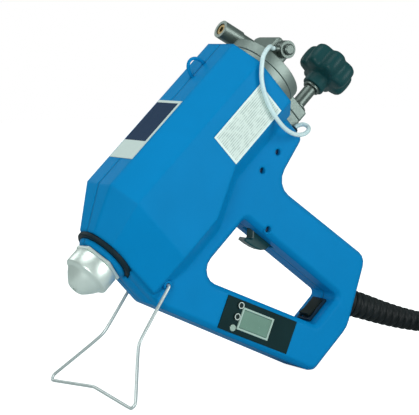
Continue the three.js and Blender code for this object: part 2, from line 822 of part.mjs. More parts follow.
// Tank, heater and insulation
const tankRear = flangeStart - gap;
add("tank", solid(turned([
  [tankBottom, outletRadius], [tankBottom, tankRadius], [tankRear, tankRadius],
  [tankRear, tankRadius - tankWall], [tankBottom + tankWall, tankRadius - tankWall],
  [tankBottom + tankWall, outletRadius], [tankBottom, outletRadius],
], 32)), "cast");
const heaterRadius = tankRadius + gap + heaterThickness;
add("heater_bands", solid(ring(heaterFront, heaterRear, heaterRadius, tankRadius + gap)), "steel");
const sleeveRadius = heaterRadius + gap + sleeveThickness;
const sleeveFront = heaterFront - sleeveOverlap;
add("insulation_sleeve", solid(ring(
  sleeveFront, heaterRear + sleeveOverlap, sleeveRadius, heaterRadius + gap)), "wool");
const sensor = add("temperature_sensor", solid(rod(-sensorLength, 0, sensorRadius, 12)), "steel");
sensor.position.set(sleeveFront - gap, 0, -tankRadius - gap - sensorRadius);
const thermostat = add("safety_thermostat", solid(box(
  [-sensorLength, -thermostatHalf, 0], [0, thermostatHalf, thermostatHeight])), "plastic");
thermostat.position.set(sleeveFront - gap, 0, tankRadius + gap);

// Flange, seal and lid share one outline: a disc with a lug for the clamp screw
function disc(start, end) {
  const lug = outline([
    [-lugHalf, 0, 0], [lugHalf, 0, 0], [lugHalf, lugEnd, lugRound], [-lugHalf, lugEnd, lugRound]]);
  return joined(
    solid(rod(start, end, flangeRadius, 36)), solid(alongLoft([[start, lug], [end, lug]])));
}
const spindleHole = (start, end) =>
  solid(rod(start, end, threadRadius + slide, 20).translate(0, 0, -spindleDrop));
const flangeEnd = flangeStart + flangeThickness;
const lidStart = flangeEnd + gap;
const lidEnd = lidStart + lidThickness;
const [sealInner, sealOuter] = [sealRadius - sealWidth / 2, sealRadius + sealWidth / 2];
add("tank_flange", cutBy(disc(flangeStart, flangeEnd),
  solid(rod(flangeStart - 1, flangeEnd + 1, mouthRadius, 32)),
  spindleHole(flangeStart - 1, flangeEnd + 1),
  solid(ring(flangeEnd - sealDepth - gap, flangeEnd + 1, sealOuter + gap, sealInner - gap, 32))),
"cast");
add("lid_seal", solid(ring(flangeEnd - sealDepth, flangeEnd, sealOuter, sealInner, 32)), "rubber");
add("tank_lid", cutBy(disc(lidStart, lidEnd), spindleHole(lidStart - 1, lidEnd + 1)), "cast");

// Clamp screw: washer, spindle, metal ring and star knob, all on the spindle axis
const clamp = new THREE.Group();
clamp.position.z = -spindleDrop;
gun.add(clamp);
const washerStart = lidEnd + gap;
const spindleShoulder = washerStart + washerThickness + gap;
const neckStart = collarRing.start + collarRing.length + gap;
const knobStart = neckStart + neckLength;
const knobEnd = knobStart + knobHeight;
add("thrust_washer", solid(ring(
  washerStart, washerStart + washerThickness, washerRadius, threadRadius + slide, 24)), "steel", clamp);
add("clamp_spindle", solid(turned([
  [spindleStart, 0], [spindleStart, threadRadius], [spindleShoulder, threadRadius],
  [spindleShoulder, spindleRadius], [neckStart + spindleDepth, spindleRadius],
  [neckStart + spindleDepth, 0],
], 24)), "steel", clamp);
add("spindle_collar", solid(ring(collarRing.start, collarRing.start + collarRing.length,
  collarRing.radius, spindleRadius + gap, 24)), "steel", clamp);

function lobedOutline(shrink) {
  const count = knobLobes * lobePoints;
  return Array.from({ length: count }, (_, i) => {
    const angle = (2 * Math.PI * i) / count;
    const valley = (1 - Math.cos(knobLobes * angle)) / 2;
    const radius = knobRadius - shrink - lobeDepth * valley ** 1.5;
    return new THREE.Vector2(radius * Math.cos(angle), radius * Math.sin(angle));
  });
}
const knobHead = solid(alongLoft([
  [knobStart, lobedOutline(2 * knobEdge)],
  [knobStart + knobEdge, lobedOutline(knobSoftEdge)],
  [knobStart + knobHeight / 2, lobedOutline(0)],
  [knobEnd - knobEdge, lobedOutline(knobSoftEdge)],
  [knobEnd, lobedOutline(knobEdge)],
]));
add("star_knob", cutBy(joined(knobHead, solid(rod(neckStart, knobStart + 1, neckRadius, 32))),
  solid(rod(neckStart - 1, neckStart + spindleDepth + gap, spindleRadius + gap))), "plastic", clamp);

// Valve block on the lid, with its relief valve on the far side and the air fitting on the near side
const blockStart = lidEnd + gap;
const blockEnd = blockStart + blockHeight;
const blockMiddle = blockStart + blockHeight / 2;
const blockPlan = (distance) => outline([
  [-blockHalf, blockTop, blockBevel], [blockHalf, blockTop, blockBevel],
  [blockHalf, blockBottom, blockBevel], [-blockHalf, blockBottom, blockBevel],
], distance);
add("valve_block", solid(alongLoft([
  [blockStart, blockPlan(0)], [blockEnd - blockBevel, blockPlan(0)],
  [blockEnd, blockPlan(blockBevel / 2)],
])), "cast");

const reliefValve = new THREE.Group();
reliefValve.position.set(blockMiddle + reliefSetback, reliefAcross, -reliefStart);
reliefValve.rotation.y = -toRadians(90 + reliefLean);
gun.add(reliefValve);
const valveLength = reliefBody.length + reliefSleeve.length;
const mouthFloor = valveLength - reliefMouth.depth;
const reliefStemRod = rod(blockHalf + gap - reliefAcross, 0, reliefStem.radius, 16)
  .rotateZ(Math.PI / 2).translate(reliefStem.along, 0, 0);
add("relief_valve", joined(solid(turned([
  [0, 0], [0, reliefBody.radius - 1], [1, reliefBody.radius], [reliefBody.length, reliefBody.radius],
  [reliefBody.length, reliefSleeve.radius], [valveLength, reliefSleeve.radius],
  [valveLength, reliefMouth.radius + gap], [mouthFloor, reliefMouth.radius + gap], [mouthFloor, 0],
])), solid(reliefStemRod)), "cast", reliefValve);
add("relief_valve_seat", solid(ring(
  mouthFloor + gap, valveLength - seatSink, reliefMouth.radius, seatBore, 20)), "brass", reliefValve);

const fitting = new THREE.Group();
fitting.position.set(blockMiddle + fittingSetback, -blockHalf - gap, -fittingDrop);
gun.add(fitting);
const tubePoints = tubeRoute.map(
  ([back, inset, drop]) => at([barrelRear + back, inset - barrelHalf, drop]));
const fittingAim = tubePoints[0].clone().sub(fitting.position).setY(0).normalize();
const fittingMiddle = new THREE.Vector3(0, -fittingThickness / 2, 0);
const spigot = rod(0, spigotLength, spigotRadius, 16)
  .rotateY(-Math.atan2(fittingAim.z, fittingAim.x)).translate(...fittingMiddle.toArray());
const boltEnd = -fittingThickness - fittingBolt.height;
add("air_fitting", joined(
  solid(across(rod(-fittingThickness, 0, fittingRadius, 24), [0, 0])),
  solid(across(turned([
    [boltEnd, 0], [boltEnd, fittingBolt.radius - fittingBolt.edge],
    [boltEnd + fittingBolt.edge, fittingBolt.radius], [-1, fittingBolt.radius], [-1, 0],
  ], 20), [0, 0])),
  solid(spigot)), "steel", fitting);

const spigotEnd = fitting.position.clone().add(fittingMiddle)
  .addScaledVector(fittingAim, spigotLength + gap);
const glandFace = webRear + gap + gland.rim + gap;
const tubePath = smooth([
  spigotEnd,
  ...tubePoints,
  new THREE.Vector3(glandFace + tubeRadius, gland.across, -gland.drop),
  new THREE.Vector3(glandFace, gland.across, -gland.drop),
]);
add("air_tube", solid(sweep(tubePath, tubeRadius, 8, 44)), "tube");
const tubeGland = add("tube_gland", solid(turned([
  [-gland.depth, gland.bore], [-gland.depth, gland.neck], [gap, gland.neck], [gap, gland.radius],
  [gap + gland.rim, gland.radius - 0.6], [gap + gland.rim, gland.bore], [-gland.depth, gland.bore],
], 20)), "plastic");
tubeGland.position.set(webRear, gland.across, -gland.drop);

// Trigger, its pin, and the air valve that it opens
const [triggerSide, triggerEdge] = [0, triggerBevel].map((d) => outline(triggerOutline, d));
add("trigger", cutBy(
  solid(acrossLoft([
    [-triggerHalf, triggerEdge], [triggerBevel - triggerHalf, triggerSide],
    [triggerHalf - triggerBevel, triggerSide], [triggerHalf, triggerEdge],
  ])),
  solid(crossRod(triggerPivot, -triggerHalf - 1, triggerHalf + 1, pinRadius + gap / 2, 16))),
"plastic");
const pinSeat = -screwSeat - gap;
add("trigger_pin", joined(
  solid(crossRod(triggerPivot, pinSeat - screwHeadHeight / 2, screwSeat, pinRadius, 16)),
  solid(crossRod(triggerPivot, pinSeat - screwHeadHeight, pinSeat, pinHead, 16))), "steel");

const valveRear = gripBackAt(valveTop) - wall - 2 * gap;
const plungerStart = triggerRear + gap;
const valveHole = rod(valveFront - 1, valveFront + valveBore, plungerRadius + slide, 16)
  .translate(0, 0, -plungerDrop);
add("air_valve_body", cutBy(
  solid(box([valveFront, -valveHalf, -valveBottom], [valveRear, valveHalf, -valveTop])),
  solid(valveHole)), "aluminium");
const plunger = add("valve_plunger", solid(rod(0, plungerLength, plungerRadius, 16)), "steel");
plunger.position.set(plungerStart, 0, -plungerDrop);
const returnSpring = add("trigger_spring", springBody(
  "trigger_spring", 0, valveFront - gap - plungerStart, triggerSpring), "steel");
returnSpring.position.copy(plunger.position);

// Hoses and wires inside the handle, which meet the bend relief square to its inner face
const exitDepth = wall + gap + reliefNeck.flangeThickness + gap;
const insideExit = (y, further) => new THREE.Vector3(
  exitPoint.x - exitNormal.x * (exitDepth + further), y,
  exitPoint.y - exitNormal.y * (exitDepth + further));
add("air_feed_hose", solid(sweep(smooth([
  new THREE.Vector3(feedHoseRoute[0][0], 0, gap - valveTop),
  ...feedHoseRoute.map(at),
  new THREE.Vector3(webRear - gland.depth - gap, gland.across, -gland.drop),
]), feedHoseRadius, 8, 28)), "tube");
add("air_inlet_hose", solid(sweep(smooth([
  new THREE.Vector3(inletHoseRoute[0][0], 0, -gap - valveBottom),
  ...inletHoseRoute.map(at),
  insideExit(-inletHoseRadius - 1, inletHoseRadius),
  insideExit(-inletHoseRadius - 1, 0),
]), inletHoseRadius, 8, 26)), "tube");
const boardFace = frameHalf - wall - gap; // inner pieces seat this far from the middle plane
const terminalMiddle = boardFace - terminal.width / 2;
const terminalBottom = terminal.drop + terminal.height / 2;
add("wire_loom", solid(sweep(smooth([
  insideExit(loomRadius + 1, 0),
  insideExit(loomRadius + 1, inletHoseRadius),
  ...loomRoute.map(at),
  new THREE.Vector3(terminal.along, terminalMiddle, -gap - loomRadius - terminalBottom),
  new THREE.Vector3(terminal.along, terminalMiddle, -gap - terminalBottom),
]), loomRadius, 8, 18)), "rubber");
const terminalBlock = add("terminal_block", solid(
  new THREE.BoxGeometry(terminal.length, terminal.width, terminal.height)), "plastic");
terminalBlock.position.set(terminal.along, terminalMiddle, -terminal.drop);

// Display panel: plate, display, two buttons, status lens and the circuit board behind the wall
function panelBlock([along, up], length, width, from, to) {
  return solid(box(
    [along - length / 2, -to, up - width / 2], [along + length / 2, -from, up + width / 2]));
}
const plateHoles = [...buttonAt, lensAt].map((place) =>
  solid(panelRod(place, plateBack - 1, panelFace + 1, buttonRadius + gap)));
add("display_plate", cutBy(panelBlock([0, 0], panelLength, panelWidth, plateBack, panelFace),
  panelBlock(displayAt, displayLength + 2 * gap, displayWidth + 2 * gap, plateBack - 1, panelFace + 1),
  ...plateHoles), "panel", panel);
const glassLength = displayLength - 2 * displayRim;
const glassWidth = displayWidth - 2 * displayRim;
add("display_frame", cutBy(
  panelBlock(displayAt, displayLength, displayWidth, plateBack, panelFace + displayRise),
  panelBlock(displayAt, glassLength, glassWidth, plateBack - 1, panelFace + displayRise + 1)),
"plastic", panel);
add("display_glass", panelBlock(displayAt, glassLength - 2 * gap, glassWidth - 2 * gap,
  plateBack, panelFace + glassRise), "display", panel);
["button_up", "button_down"].forEach((name, i) => {
  const button = panelRod([0, 0], stemEnd, panelFace + buttonRise, buttonRadius);
  const mesh = add(name, solid(button), "plastic", panel);
  mesh.position.set(buttonAt[i][0], 0, buttonAt[i][1]);
});
const lens = add("status_lens", solid(
  panelRod([0, 0], stemEnd, panelFace + glassRise, buttonRadius)), "lens", panel);
lens.position.set(lensAt[0], 0, lensAt[1]);
add("circuit_board", panelBlock([0, 0], boardLength, boardWidth,
  boardFace - boardThickness, boardFace), "board", panel);

// Mains switch
const mainsSwitch = new THREE.Group();
mainsSwitch.position.set(switchAlong, 0, -endWallDrop);
gun.add(mainsSwitch);
const windowSide = rockerWidth / 2 + gap;
const switchBlock = (low, high, halfLength, halfWidth) =>
  solid(box([-halfLength, -halfWidth, low], [halfLength, halfWidth, high]));
add("switch_bezel", cutBy(
  switchBlock(gap, gap + bezel.height, bezel.length / 2, bezel.width / 2),
  switchBlock(0, gap + bezel.height + 1, windowHalf, windowSide)), "plastic", mainsSwitch);
add("switch_body", switchBlock(-switchDepth, 0, windowHalf, windowSide), "plastic", mainsSwitch);
const rockerSide = [
  [-rockerHalf, rockerEnd[0]], [0, rockerMiddle[0]], [rockerHalf, rockerEnd[0]],
  [rockerHalf, rockerEnd[1]], [0, rockerMiddle[1]], [-rockerHalf, rockerEnd[1]],
].map(([x, z]) => new THREE.Vector2(x, z));
const rocker = add("switch_rocker", solid(acrossLoft([
  [-rockerWidth / 2, rockerSide], [rockerWidth / 2, rockerSide]])), "plastic", mainsSwitch);
rocker.position.z = rockerPivotRise;
rocker.rotation.y = toRadians(rockerTilt);

// Wire stand, in axes whose X runs out along the legs from the pivot
const stand = new THREE.Group();
stand.position.set(pivot.x, 0, pivot.y);
stand.rotation.y = -legDirection.angle();
gun.add(stand);
add("stand_wire", solid(wire(standLine, wireRadius, 8)), "steel", stand);
[["stand_bush_left", -frameHalf - gap - bushLength], ["stand_bush_right", frameHalf + gap]]
  .forEach(([name, start]) => {
    const bush = across(ring(0, bushLength, bushRadius, wireRadius + gap, 20), [0, 0]);
    add(name, solid(bush), "casing", stand).position.y = start;
  });

// Hanging eye
const eyeLine = [new THREE.Vector3(-eye.half, 0, -eye.root)];
for (let degrees = 180; degrees >= 0; degrees -= 20) {
  const angle = toRadians(degrees);
  eyeLine.push(new THREE.Vector3(eye.half * Math.cos(angle), 0, eye.rise * Math.sin(angle)));
}
eyeLine.push(new THREE.Vector3(eye.half, 0, -eye.root));
const hangingEye = add("hanging_eye", solid(wire(eyeLine, eye.wire, 8)), "casing");
hangingEye.position.set(eye.along, 0, barrelTop);

// Labels
const instructionLabel = add("instruction_label", solid(
  new THREE.BoxGeometry(sideLabel.length, labelThickness, sideLabel.height)), "label");
instructionLabel.position.set(
  sideLabel.along, labelThickness / 2 - labelProud - barrelHalf, -sideLabel.drop);
const frontLabel = add("front_label", solid(
  new THREE.BoxGeometry(topLabel.length, topLabel.width, labelThickness)), "label");
frontLabel.position.set(topLabel.along, 0, barrelTop + labelProud - labelThickness / 2);

// The gun stands on the table, centred on the origin
gun.rotation.y = -restTilt;
gun.updateMatrixWorld(true);
const bounds = new THREE.Box3().setFromObject(gun, true);
const middle = bounds.getCenter(new THREE.Vector3());
gun.position.set(-middle.x, -middle.y, -bounds.min.z);
gun.updateMatrixWorld(true);

// Supply hose: bend relief, free stretch, coil and connector, in table axes
const exit = gun.localToWorld(new THREE.Vector3(exitPoint.x, 0, exitPoint.y));
const exitDirection = new THREE.Vector3(exitNormal.x, 0, exitNormal.y).applyEuler(gun.rotation);
const outAndUp = ([out, height]) => new THREE.Vector3(exit.x + out, exit.y, height);
const reliefLine = smooth([
  exit.clone().addScaledVector(exitDirection, -reliefRoot),
  exit,
  ...reliefRoute.map(outAndUp),
]);

// A closed profile of [distance, radius] pairs turned about a line that stays in the XZ plane
function bentTurning(line, root, profile, sides) {
  const length = line.getLength();
  const positions = [];
  const index = [];
  profile.forEach(([distance, radius], step) => {
    const u = (distance + root) / length;
    const centre = line.getPointAt(u);
    const tangent = line.getTangentAt(u);
    const next = (((step + 1) % profile.length) - step) * sides;
    for (let side = 0; side < sides; side++) {
      const angle = (2 * Math.PI * side) / sides;
      const up = radius * Math.cos(angle);
      positions.push(
        centre.x - tangent.z * up, centre.y + radius * Math.sin(angle), centre.z + tangent.x * up);
      const [p, q] = [step * sides + side, step * sides + ((side + 1) % sides)];
      index.push(p, q, q + next, p, q + next, p + next);
    }
  });
  const geometry = new THREE.BufferGeometry();
  geometry.setAttribute("position", new THREE.Float32BufferAttribute(positions, 3));
  geometry.setIndex(index);
  return geometry;
}

const flangeInner = -wall - gap - reliefNeck.flangeThickness;
const ribPitch = (reliefLength - reliefCuff.length) / ribCount;
const reliefProfile = [
  [flangeInner, reliefBore], [flangeInner, reliefNeck.flange], [-wall - gap, reliefNeck.flange],
  [-wall - gap, reliefNeck.radius], [gap, reliefNeck.radius], [gap, reliefCuff.radius],
  [reliefCuff.length, reliefCuff.radius],
];
for (let rib = 0; rib < ribCount; rib++) {
  const start = reliefCuff.length + rib * ribPitch;
  const crest = THREE.MathUtils.lerp(...reliefRadii, rib / (ribCount - 1));
  reliefProfile.push(
    [start + 0.05 * ribPitch, crest - ribGroove], [start + 0.25 * ribPitch, crest - ribGroove],
    [start + 0.4 * ribPitch, crest], [start + 0.95 * ribPitch, crest]);
}
reliefProfile.push([reliefLength, reliefRadii[1] - reliefEdge]);
for (let distance = reliefLength; distance > 0; distance -= reliefLength / 5) {
  reliefProfile.push([distance, reliefBore]);
}
add("bend_relief", solid(bentTurning(reliefLine, reliefRoot, reliefProfile, reliefSides)),
  "rubber", applicator);

// The coil winds inwards on the table, climbs, winds outwards, climbs again and ends on the outside
class CoilCurve extends THREE.Curve {
  constructor(centre) {
    super();
    this.centre = centre;
    this.inner = coilOuter - coilPitch * coilLayerTurns;
    this.outward = coilLayerTurns + coilClimbTurns;
    this.last = this.outward + coilLayerTurns + coilClimbTurns;
    this.turns = this.last + coilLastTurns;
    this.arc = Math.PI * (coilOuter + this.inner) * this.turns;
    this.arcLengthDivisions = 900;
  }

  onTurn(turn) {
    const { clamp, smoothstep } = THREE.MathUtils;
    const inwards = Math.min(turn, coilLayerTurns);
    const outwards = clamp(turn - this.outward, 0, coilLayerTurns);
    const swing = (start) => {
      const late = clamp(turn - start, 0, coilClimbTurns);
      return late - (late * late) / coilClimbTurns;
    };
    const secondClimb = this.outward + coilLayerTurns;
    const radius = coilOuter + coilPitch * (outwards - inwards - swing(coilLayerTurns)
      + swing(secondClimb));
    const settle = smoothstep(turn, this.turns - 0.3, this.turns);
    const height = hoseRadius
      + coilRise * smoothstep(turn, coilLayerTurns, this.outward)
      + coilRise * smoothstep(turn, secondClimb, this.last)
      + (connectorRing.radius - hoseRadius) * settle;
    const angle = 2 * Math.PI * turn;
    return new THREE.Vector3(radius * Math.sin(angle), radius * Math.cos(angle), height);
  }

  getPoint(t, target = new THREE.Vector3()) {
    const travelled = t * (coilLead + this.arc + coilTail) - coilLead;
    const turn = THREE.MathUtils.clamp(travelled / this.arc, 0, 1) * this.turns;
    const angle = 2 * Math.PI * turn;
    const beyond = Math.min(travelled, 0) + Math.max(travelled - this.arc, 0);
    const straight = new THREE.Vector3(Math.cos(angle), -Math.sin(angle), 0).multiplyScalar(beyond);
    return target.copy(this.onTurn(turn)).add(straight).add(this.centre);
  }
}
const coil = new CoilCurve(new THREE.Vector3(exit.x + coilOut, exit.y - coilOuter, 0));
reportLeastGap("supply_hose_coil", coil, hoseRadius, 400);
add("supply_hose_coil", solid(sweep(coil, hoseRadius, 6, Math.round(coilSteps * coil.turns) + 4)),
  "rubber", applicator);

const reliefTip = reliefLine.getPointAt((reliefRoot + reliefLength + gap) / reliefLine.getLength());
const coilStart = coil.getPoint(0);
const beforeCoil = (distance) => coilStart.clone().setX(coilStart.x - distance);
const hosePath = smooth([
  reliefTip,
  ...hoseRoute.map(outAndUp),
  beforeCoil(gap + 3),
  beforeCoil(gap),
]);
add("supply_hose", solid(sweep(hosePath, hoseRadius, 8, 14)), "rubber", applicator);
const hoseLength = reliefLength + hosePath.getLength() + coil.getLength();
console.log(`supply hose: ${(hoseLength / 1000).toFixed(2)} m from the casing to the connector`);

// Connector on the end of the hose, lying on the coil
const plug = new THREE.Group();
const coilEnd = coil.getPoint(1);
const endDirection = coilEnd.clone().sub(coil.getPoint(1 - 1e-3)).setZ(0).normalize();
plug.position.copy(coilEnd).addScaledVector(endDirection, gap);
plug.rotation.z = Math.atan2(endDirection.y, endDirection.x);
applicator.add(plug);
const ringEnd = connectorRing.from + connectorRing.length;
const noseStart = connector.length - connector.nose;
add("hose_connector", solid(turned([
  [0, 0], [0, connector.noseRadius], [3, connector.radius], [connectorRing.from - gap, connector.radius],
  [connectorRing.from - gap, connector.noseRadius], [ringEnd + gap, connector.noseRadius],
  [ringEnd + gap, connector.radius], [noseStart, connector.radius],
  [noseStart, connector.noseRadius], [connector.length, connector.noseRadius],
  [connector.length, 0],
], 24)), "plastic", plug);
add("connector_ring", solid(ring(connectorRing.from, ringEnd,
  connectorRing.radius, connector.noseRadius + gap, 24)), "plastic", plug);

export default applicator;
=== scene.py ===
import math
import bmesh
import bpy
from mathutils import Matrix, Vector


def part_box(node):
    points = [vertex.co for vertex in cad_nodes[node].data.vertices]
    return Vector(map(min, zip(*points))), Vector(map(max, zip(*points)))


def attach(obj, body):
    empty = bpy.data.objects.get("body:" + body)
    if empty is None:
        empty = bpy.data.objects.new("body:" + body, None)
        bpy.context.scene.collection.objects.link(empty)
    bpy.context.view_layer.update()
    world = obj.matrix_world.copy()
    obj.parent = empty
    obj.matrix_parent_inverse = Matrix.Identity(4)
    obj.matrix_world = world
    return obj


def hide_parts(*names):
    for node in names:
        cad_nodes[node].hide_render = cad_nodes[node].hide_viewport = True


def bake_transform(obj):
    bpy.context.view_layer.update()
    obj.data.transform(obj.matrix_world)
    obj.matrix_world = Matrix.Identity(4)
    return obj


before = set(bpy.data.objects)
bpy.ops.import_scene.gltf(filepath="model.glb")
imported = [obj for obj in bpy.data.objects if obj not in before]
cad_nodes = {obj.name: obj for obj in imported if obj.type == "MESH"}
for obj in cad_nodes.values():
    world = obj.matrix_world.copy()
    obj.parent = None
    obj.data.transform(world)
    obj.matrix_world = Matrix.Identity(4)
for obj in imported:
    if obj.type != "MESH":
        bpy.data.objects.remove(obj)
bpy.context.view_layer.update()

# Camera
# A long lens a metre and a half away, a little above the tool and towards its nozzle. It is turned about the
# middle of the barrel, rolled a little, and moved sideways until the tool stands in a picture of 419 by 415.
camera_data = bpy.data.cameras.new("studio_camera")
camera_data.sensor_width = 36.0
camera_data.lens = 143.92
camera_data.clip_end = 20.0
camera = bpy.data.objects.new("studio_camera", camera_data)
bpy.context.scene.collection.objects.link(camera)
camera_turn, camera_rise, camera_roll = (math.radians(a) for a in (-32.91, 5.968, -0.409))
towards_camera = Vector((math.sin(camera_turn) * math.cos(camera_rise),
                         -math.cos(camera_turn) * math.cos(camera_rise), math.sin(camera_rise)))
level_right = Vector((math.cos(camera_turn), math.sin(camera_turn), 0))
level_up = towards_camera.cross(level_right)
picture_right = math.cos(camera_roll) * level_right + math.sin(camera_roll) * level_up
picture_up = math.cos(camera_roll) * level_up - math.sin(camera_roll) * level_right
view_middle = Vector((-0.04457, 0, 0.18706))
camera_distance, camera_right, camera_lift = 1.45663, 0.030232, -0.030935
camera.matrix_world = Matrix.Translation(
    view_middle + camera_distance * towards_camera + camera_right * picture_right + camera_lift * picture_up
) @ Matrix((picture_right, picture_up, towards_camera)).transposed().to_4x4()
bpy.context.scene.camera = camera

# Supply hose
# One rubber hose with the mains lead and the air line inside. It leaves the bend relief, comes down to the
# table and is wound for storage: inwards on the table, outwards on top, half a turn more to its connector.
hose_exit = Vector((0.13769, 0, 0.05716))
hose_radius = 0.007
end_gap = 0.0003  # between the hose and what it ends in
relief_root, relief_length = 0.012, 0.106
relief_direction = Vector((0.9492, 0, -0.3149))


def smooth_path(points, steps):
    """Points of an even centripetal curve through the given points."""
    points = [Vector(p) for p in points]
    points = [2 * points[0] - points[1], *points, 2 * points[-1] - points[-2]]
    path = []
    for p0, p1, p2, p3 in zip(points, points[1:], points[2:], points[3:]):
        times = [0.0]
        for a, b in ((p0, p1), (p1, p2), (p2, p3)):
            times.append(times[-1] + math.sqrt((b - a).length))
        t0, t1, t2, t3 = times
        for i in range(steps):
            t = t1 + (t2 - t1) * i / steps
            a1 = p0 * ((t1 - t) / (t1 - t0)) + p1 * ((t - t0) / (t1 - t0))
            a2 = p1 * ((t2 - t) / (t2 - t1)) + p2 * ((t - t1) / (t2 - t1))
            a3 = p2 * ((t3 - t) / (t3 - t2)) + p3 * ((t - t2) / (t3 - t2))
            b1 = a1 * ((t2 - t) / (t2 - t0)) + a2 * ((t - t0) / (t2 - t0))
            b2 = a2 * ((t3 - t) / (t3 - t1)) + a3 * ((t - t1) / (t3 - t1))
            path.append(b1 * ((t2 - t) / (t2 - t1)) + b2 * ((t - t1) / (t2 - t1)))
    return [*path, points[-2]]


def past_exit(out, height):
    """A place on the middle plane, so many millimetres past the exit and above the table."""
    return Vector((hose_exit.x + out / 1000, 0, height / 1000))


relief_line = smooth_path([
    hose_exit - relief_root * relief_direction, hose_exit,
    past_exit(22.5, 49.8), past_exit(46.6, 41.3), past_exit(71.1, 33.6),
    past_exit(93.6, 27.8), past_exit(104, 25.4), past_exit(118, 22.2),
], 40)


def along_path(path, distance):
    """The point at a distance along a path, and the direction there."""
    for a, b in zip(path, path[1:]):
        step = (b - a).length
        if distance <= step:
            return a + (b - a) * (distance / step), (b - a).normalized()
        distance -= step
    return path[-1], (path[-1] - path[-2]).normalized()


hose_start = along_path(relief_line, relief_root + relief_length + end_gap)[0]
coil_outer, coil_pitch, coil_rise, coil_reach = 0.0795, 0.0148, 0.015, 0.172
coil_centre = hose_exit + Vector((coil_reach, -coil_outer, 0))
coil_centre.z = 0
layer_turns, climb_turns, last_turns = 1.5, 0.5, 0.53
second_layer = layer_turns + climb_turns
third_layer = second_layer + layer_turns + climb_turns
coil_turns = third_layer + last_turns
tail_lift, tail_lift_turns, tail_length = 0.0045, 0.3, 0.024


def soft_step(value, low, high):
    """0 below the low value and 1 above the high one, with a soft rise between them."""
    t = min(max((value - low) / (high - low), 0), 1)
    return t * t * (3 - 2 * t)


def swing(turn, start):
    """How far the hose has moved on sideways while it climbs from one layer to the next, in pitches."""
    late = min(max(turn - start, 0), climb_turns)
    return late - late * late / climb_turns


def coil_point(turn):
    """The middle of the hose after so many turns of the coil."""
    inwards = min(turn, layer_turns)
    outwards = min(max(turn - second_layer, 0), layer_turns)
    radius = coil_outer + coil_pitch * (
        outwards - inwards - swing(turn, layer_turns) + swing(turn, third_layer - climb_turns))
    height = hose_radius + coil_rise * soft_step(turn, layer_turns, second_layer)
    height += coil_rise * soft_step(turn, third_layer - climb_turns, third_layer)
    height += tail_lift * soft_step(turn, coil_turns - tail_lift_turns, coil_turns)
    angle = 2 * math.pi * turn
    return coil_centre + Vector((radius * math.sin(angle), radius * math.cos(angle), height))


coil_steps = 440
coil_path = [coil_point(coil_turns * i / coil_steps) for i in range(coil_steps + 1)]
small_turn = 0.001
tail_direction = coil_point(coil_turns + small_turn) - coil_point(coil_turns - small_turn)
tail_direction.z = 0
tail_direction.normalize()
coil_lead = coil_path[0] - Vector((0.006, 0, 0))
tail_end = coil_path[-1] + tail_length * tail_direction
hose_path = smooth_path([
    hose_start, past_exit(112, 23.2), past_exit(124, 19.1), past_exit(136, 14.7),
    past_exit(148, 10.7), past_exit(158, 8.2),
    coil_lead - Vector((0.0036, 0, 0)), coil_lead,
], 12)
hose_path += [*coil_path, tail_end]
for place in hose_path:
    place.z = max(place.z, hose_radius)
hose_curve = bpy.data.curves.new("supply_hose_line", "CURVE")
hose_curve.dimensions = "3D"
hose_curve.bevel_depth = hose_radius
hose_curve.bevel_resolution = 6
hose_curve.use_fill_caps = True
hose_spline = hose_curve.splines.new("POLY")
hose_spline.points.add(len(hose_path) - 1)
for point, place in zip(hose_spline.points, hose_path):
    point.co = (*place, 1)
hose = bpy.data.objects.new("hose", hose_curve)
bpy.context.scene.collection.objects.link(hose)


def finish(name, colour, roughness, metal=0.0, grain=900.0, relief=0.1, drift=0.06, stretch=(1, 1, 1),
           coat=0.0, uneven=0.08, gloss=0.5):
    """A surface with fine relief, a slow drift of colour and an uneven sheen."""
    material = bpy.data.materials.new(name)
    material.use_nodes = True
    nodes, links = material.node_tree.nodes, material.node_tree.links
    shader = nodes["Principled BSDF"]
    shader.inputs["Metallic"].default_value = metal
    shader.inputs["Specular IOR Level"].default_value = gloss
    shader.inputs["Coat Weight"].default_value = coat
    shader.inputs["Coat Roughness"].default_value = 0.12
    place = nodes.new("ShaderNodeTexCoord")
    stretched = nodes.new("ShaderNodeMapping")
    stretched.inputs["Scale"].default_value = stretch
    links.new(place.outputs["Object"], stretched.inputs["Vector"])
    fine = nodes.new("ShaderNodeTexNoise")
    fine.inputs["Scale"].default_value = grain
    fine.inputs["Detail"].default_value = 4.0
    links.new(stretched.outputs["Vector"], fine.inputs["Vector"])
    slow = nodes.new("ShaderNodeTexNoise")
    slow.inputs["Scale"].default_value = 28.0
    slow.inputs["Detail"].default_value = 5.0
    links.new(place.outputs["Object"], slow.inputs["Vector"])
    ramp = nodes.new("ShaderNodeValToRGB")
    ramp.color_ramp.elements[0].position = 0.3
    ramp.color_ramp.elements[1].position = 0.7
    ramp.color_ramp.elements[0].color = (*[c * (1 - drift) for c in colour], 1)
    ramp.color_ramp.elements[1].color = (*[min(c * (1 + drift), 1) for c in colour], 1)
    links.new(slow.outputs["Fac"], ramp.inputs["Fac"])
    links.new(ramp.outputs["Color"], shader.inputs["Base Color"])
    sheen = nodes.new("ShaderNodeMapRange")
    sheen.inputs["To Min"].default_value = max(roughness - uneven, 0.02)
    sheen.inputs["To Max"].default_value = min(roughness + uneven, 1)
    links.new(fine.outputs["Fac"], sheen.inputs["Value"])
    links.new(sheen.outputs["Result"], shader.inputs["Roughness"])
    bump = nodes.new("ShaderNodeBump")
    bump.inputs["Strength"].default_value = relief
    bump.inputs["Distance"].default_value = 0.0004
    links.new(fine.outputs["Fac"], bump.inputs["Height"])
    links.new(bump.outputs["Normal"], shader.inputs["Normal"])
    return material


hose_rubber = finish("hose_rubber", (0.006, 0.017, 0.019), 0.55, grain=1400, relief=0.2, drift=0.2,
                     gloss=0.25)
hose_curve.materials.append(hose_rubber)
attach(hose, "gun")
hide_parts("supply_hose", "supply_hose_coil")

